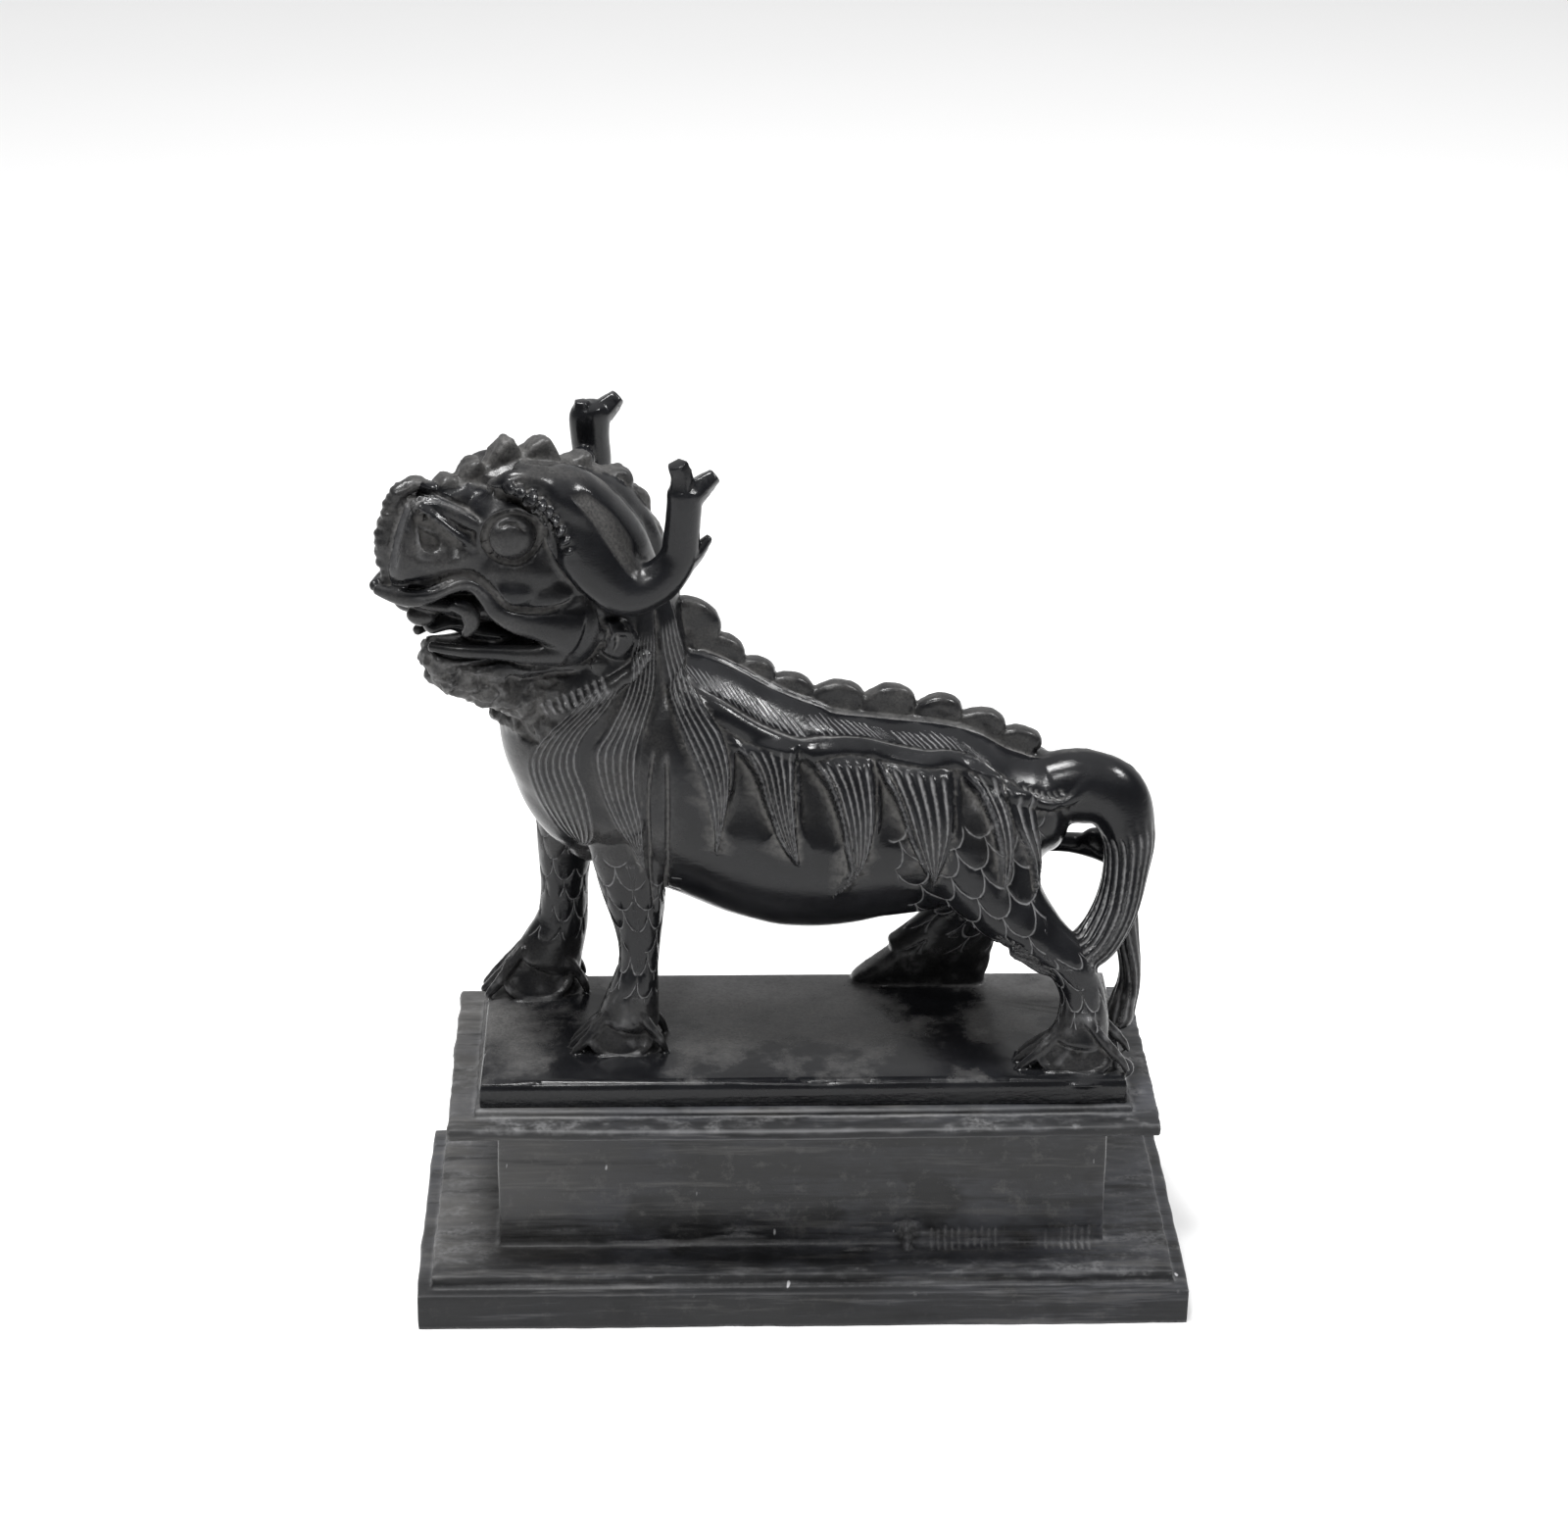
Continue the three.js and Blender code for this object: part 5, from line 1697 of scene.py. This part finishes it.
class STATUE_OT_carve_beast(bpy.types.Operator):
    """Carve the beast and the tablet under its feet"""

    bl_idname = "statue.carve_beast"
    bl_label = "Carve the beast"

    def execute(self, context):
        sizes = context.scene.carving_sizes
        cell = sizes.beast_cell * 1
        piece = carve_beast(cell, sizes.beast_triangles)
        finished(piece, polished_stone(context.scene.stone_finish), "guardian_beast")
        return {"FINISHED"}


class STATUE_OT_carve_plinth(bpy.types.Operator):
    """Carve the stepped plinth"""

    bl_idname = "statue.carve_plinth"
    bl_label = "Carve the plinth"

    def execute(self, context):
        sizes = context.scene.carving_sizes
        piece = carve_plinth(sizes.plinth_cell, sizes.plinth_triangles)
        finished(piece, honed_stone(context.scene.stone_finish), "plinth")
        return {"FINISHED"}


CAMERA_AT = (-31.4, -929.0, 556.0)
CAMERA_YAW = 1.64
CAMERA_PITCH = 24.18
CAMERA_ROLL = 0.37
CAMERA_FOCUS = 4076.0  # in pixels of the 1600-pixel width
PHOTO_WIDTH = 1600.0
SENSOR = 36.0


def add_camera(scene):
    """Axes from yaw, pitch and roll: forward = (sin yaw cos pitch, cos yaw cos pitch, -sin pitch)."""
    yaw, pitch, roll = (math.radians(v) for v in (CAMERA_YAW, CAMERA_PITCH, CAMERA_ROLL))
    forward = np.array([math.sin(yaw) * math.cos(pitch), math.cos(yaw) * math.cos(pitch), -math.sin(pitch)])
    level = np.array([math.cos(yaw), -math.sin(yaw), 0])
    upward = np.cross(level, forward)
    right = level * math.cos(roll) + upward * math.sin(roll)
    top = upward * math.cos(roll) - level * math.sin(roll)
    data = bpy.data.cameras.new("photo_view")
    data.sensor_width = SENSOR
    data.lens = CAMERA_FOCUS * SENSOR / PHOTO_WIDTH
    camera = bpy.data.objects.new("photo_view", data)
    axes = Matrix(np.stack([right, top, -forward], 1).tolist()).to_4x4()
    camera.matrix_world = Matrix.Translation([v * MM for v in CAMERA_AT]) @ axes
    scene.collection.objects.link(camera)
    scene.camera = camera


# Soft square lights: name, place, side in metres, and the setting that holds the strength
SOFTBOXES = (
    ("key_light", (-0.3, -0.1, 1.5), 0.4, "key"),
    ("front_light", (-0.25, -0.85, 1.15), 0.14, "front"),
    ("side_light", (0.9, -0.1, 1.2), 0.26, "rim"),
)
LIT_POINT = (0, 0, 0.12)
FLOOR_REACH = 12.0  # half the floor's side, in metres


def add_softbox(scene, name, at, size, power):
    """A square soft light that faces the statue."""
    data = bpy.data.lights.new(name, "AREA")
    data.size = size
    data.energy = power
    lamp = bpy.data.objects.new(name, data)
    direction = Matrix.Translation(at).to_translation() - Matrix.Translation(LIT_POINT).to_translation()
    lamp.matrix_world = Matrix.Translation(at) @ direction.to_track_quat("Z", "Y").to_matrix().to_4x4()
    scene.collection.objects.link(lamp)


def soft_sky(settings):
    """White light from behind (+Y), from above and just over the floor, and elsewhere the fill."""
    n = Nodes(bpy.data.worlds.new("studio"), "Generated")
    apart = n.add("ShaderNodeSeparateXYZ")
    n.feed(apart.inputs["Vector"], n.place)
    parts = [
        n.spread(apart.outputs[axis], low, high, dark, bright, "SMOOTHSTEP")
        for axis, low, high, dark, bright in (
            ("Z", 0.45, 0.9, settings.fill, settings.overhead),
            ("Y", 0.1, 0.7, 0.0, settings.backdrop),
            ("Z", 0.5, -0.1, 0.0, settings.skirt),
        )
    ]
    strength = n.work("MAXIMUM", n.work("MAXIMUM", parts[0], parts[1]), parts[2])
    background = n.add("ShaderNodeBackground")
    n.feed(background.inputs["Color"], (1, 1, 1, 1))
    n.feed(background.inputs["Strength"], strength)
    n.feed(n.add("ShaderNodeOutputWorld").inputs["Surface"], background.outputs["Background"])
    return n.owner


class STATUE_OT_set_stage(bpy.types.Operator):
    """Lay the floor, place the soft lights and set the camera where the photograph was taken from"""

    bl_idname = "statue.set_stage"
    bl_label = "Set the stage"

    def execute(self, context):
        scene = context.scene
        settings = scene.stage_settings
        corners = np.array([[-1, -1, 0], [1, -1, 0], [1, 1, 0], [-1, 1, 0]]) * FLOOR_REACH / MM
        floor = put("floor", corners, np.array([[0, 1, 2], [0, 2, 3]]))
        n = Nodes(bpy.data.materials.new("pale_floor"))
        tone = n.blend(n.spread(n.noise(3), 0.3, 0.7), tuple(settings.floor), shade(settings.floor, 0.985))
        floor.data.materials.append(n.stone(tone, 0.8, n.bump(n.noise(300), 0.02, 0.0002), 0.2))
        scene.world = soft_sky(settings)
        for name, at, size, setting in SOFTBOXES:
            add_softbox(scene, name, at, size, getattr(settings, setting))
        scene.view_settings.view_transform = "Standard"
        add_camera(scene)
        return {"FINISHED"}


class STATUE_PT_panel(bpy.types.Panel):
    """The statue's pieces, sizes and finishes"""

    bl_idname = "STATUE_PT_panel"
    bl_label = "Guardian beast"
    bl_space_type = "VIEW_3D"
    bl_region_type = "UI"
    bl_category = "Guardian beast"

    def draw(self, context):
        layout = self.layout
        for kind in OPERATORS:
            layout.operator(kind.bl_idname)
        for group in GROUPS:
            settings = getattr(context.scene, group)
            box_of_group = layout.box()
            for name in settings.__annotations__:
                box_of_group.prop(settings, name)


OPERATORS = (STATUE_OT_carve_beast, STATUE_OT_carve_plinth, STATUE_OT_set_stage)
GROUPS = {"carving_sizes": CarvingSizes, "stone_finish": StoneFinish, "stage_settings": StageSettings}


def register():
    for kind in (*GROUPS.values(), *OPERATORS, STATUE_PT_panel):
        bpy.utils.register_class(kind)
    for name, kind in GROUPS.items():
        setattr(bpy.types.Scene, name, bpy.props.PointerProperty(type=kind))


def unregister():
    for name in GROUPS:
        delattr(bpy.types.Scene, name)
    for kind in (STATUE_PT_panel, *OPERATORS, *GROUPS.values()):
        bpy.utils.unregister_class(kind)


def main():
    register()
    bpy.ops.statue.carve_beast()
    bpy.ops.statue.carve_plinth()
    bpy.ops.statue.set_stage()


if __name__ == "__main__":
    main()
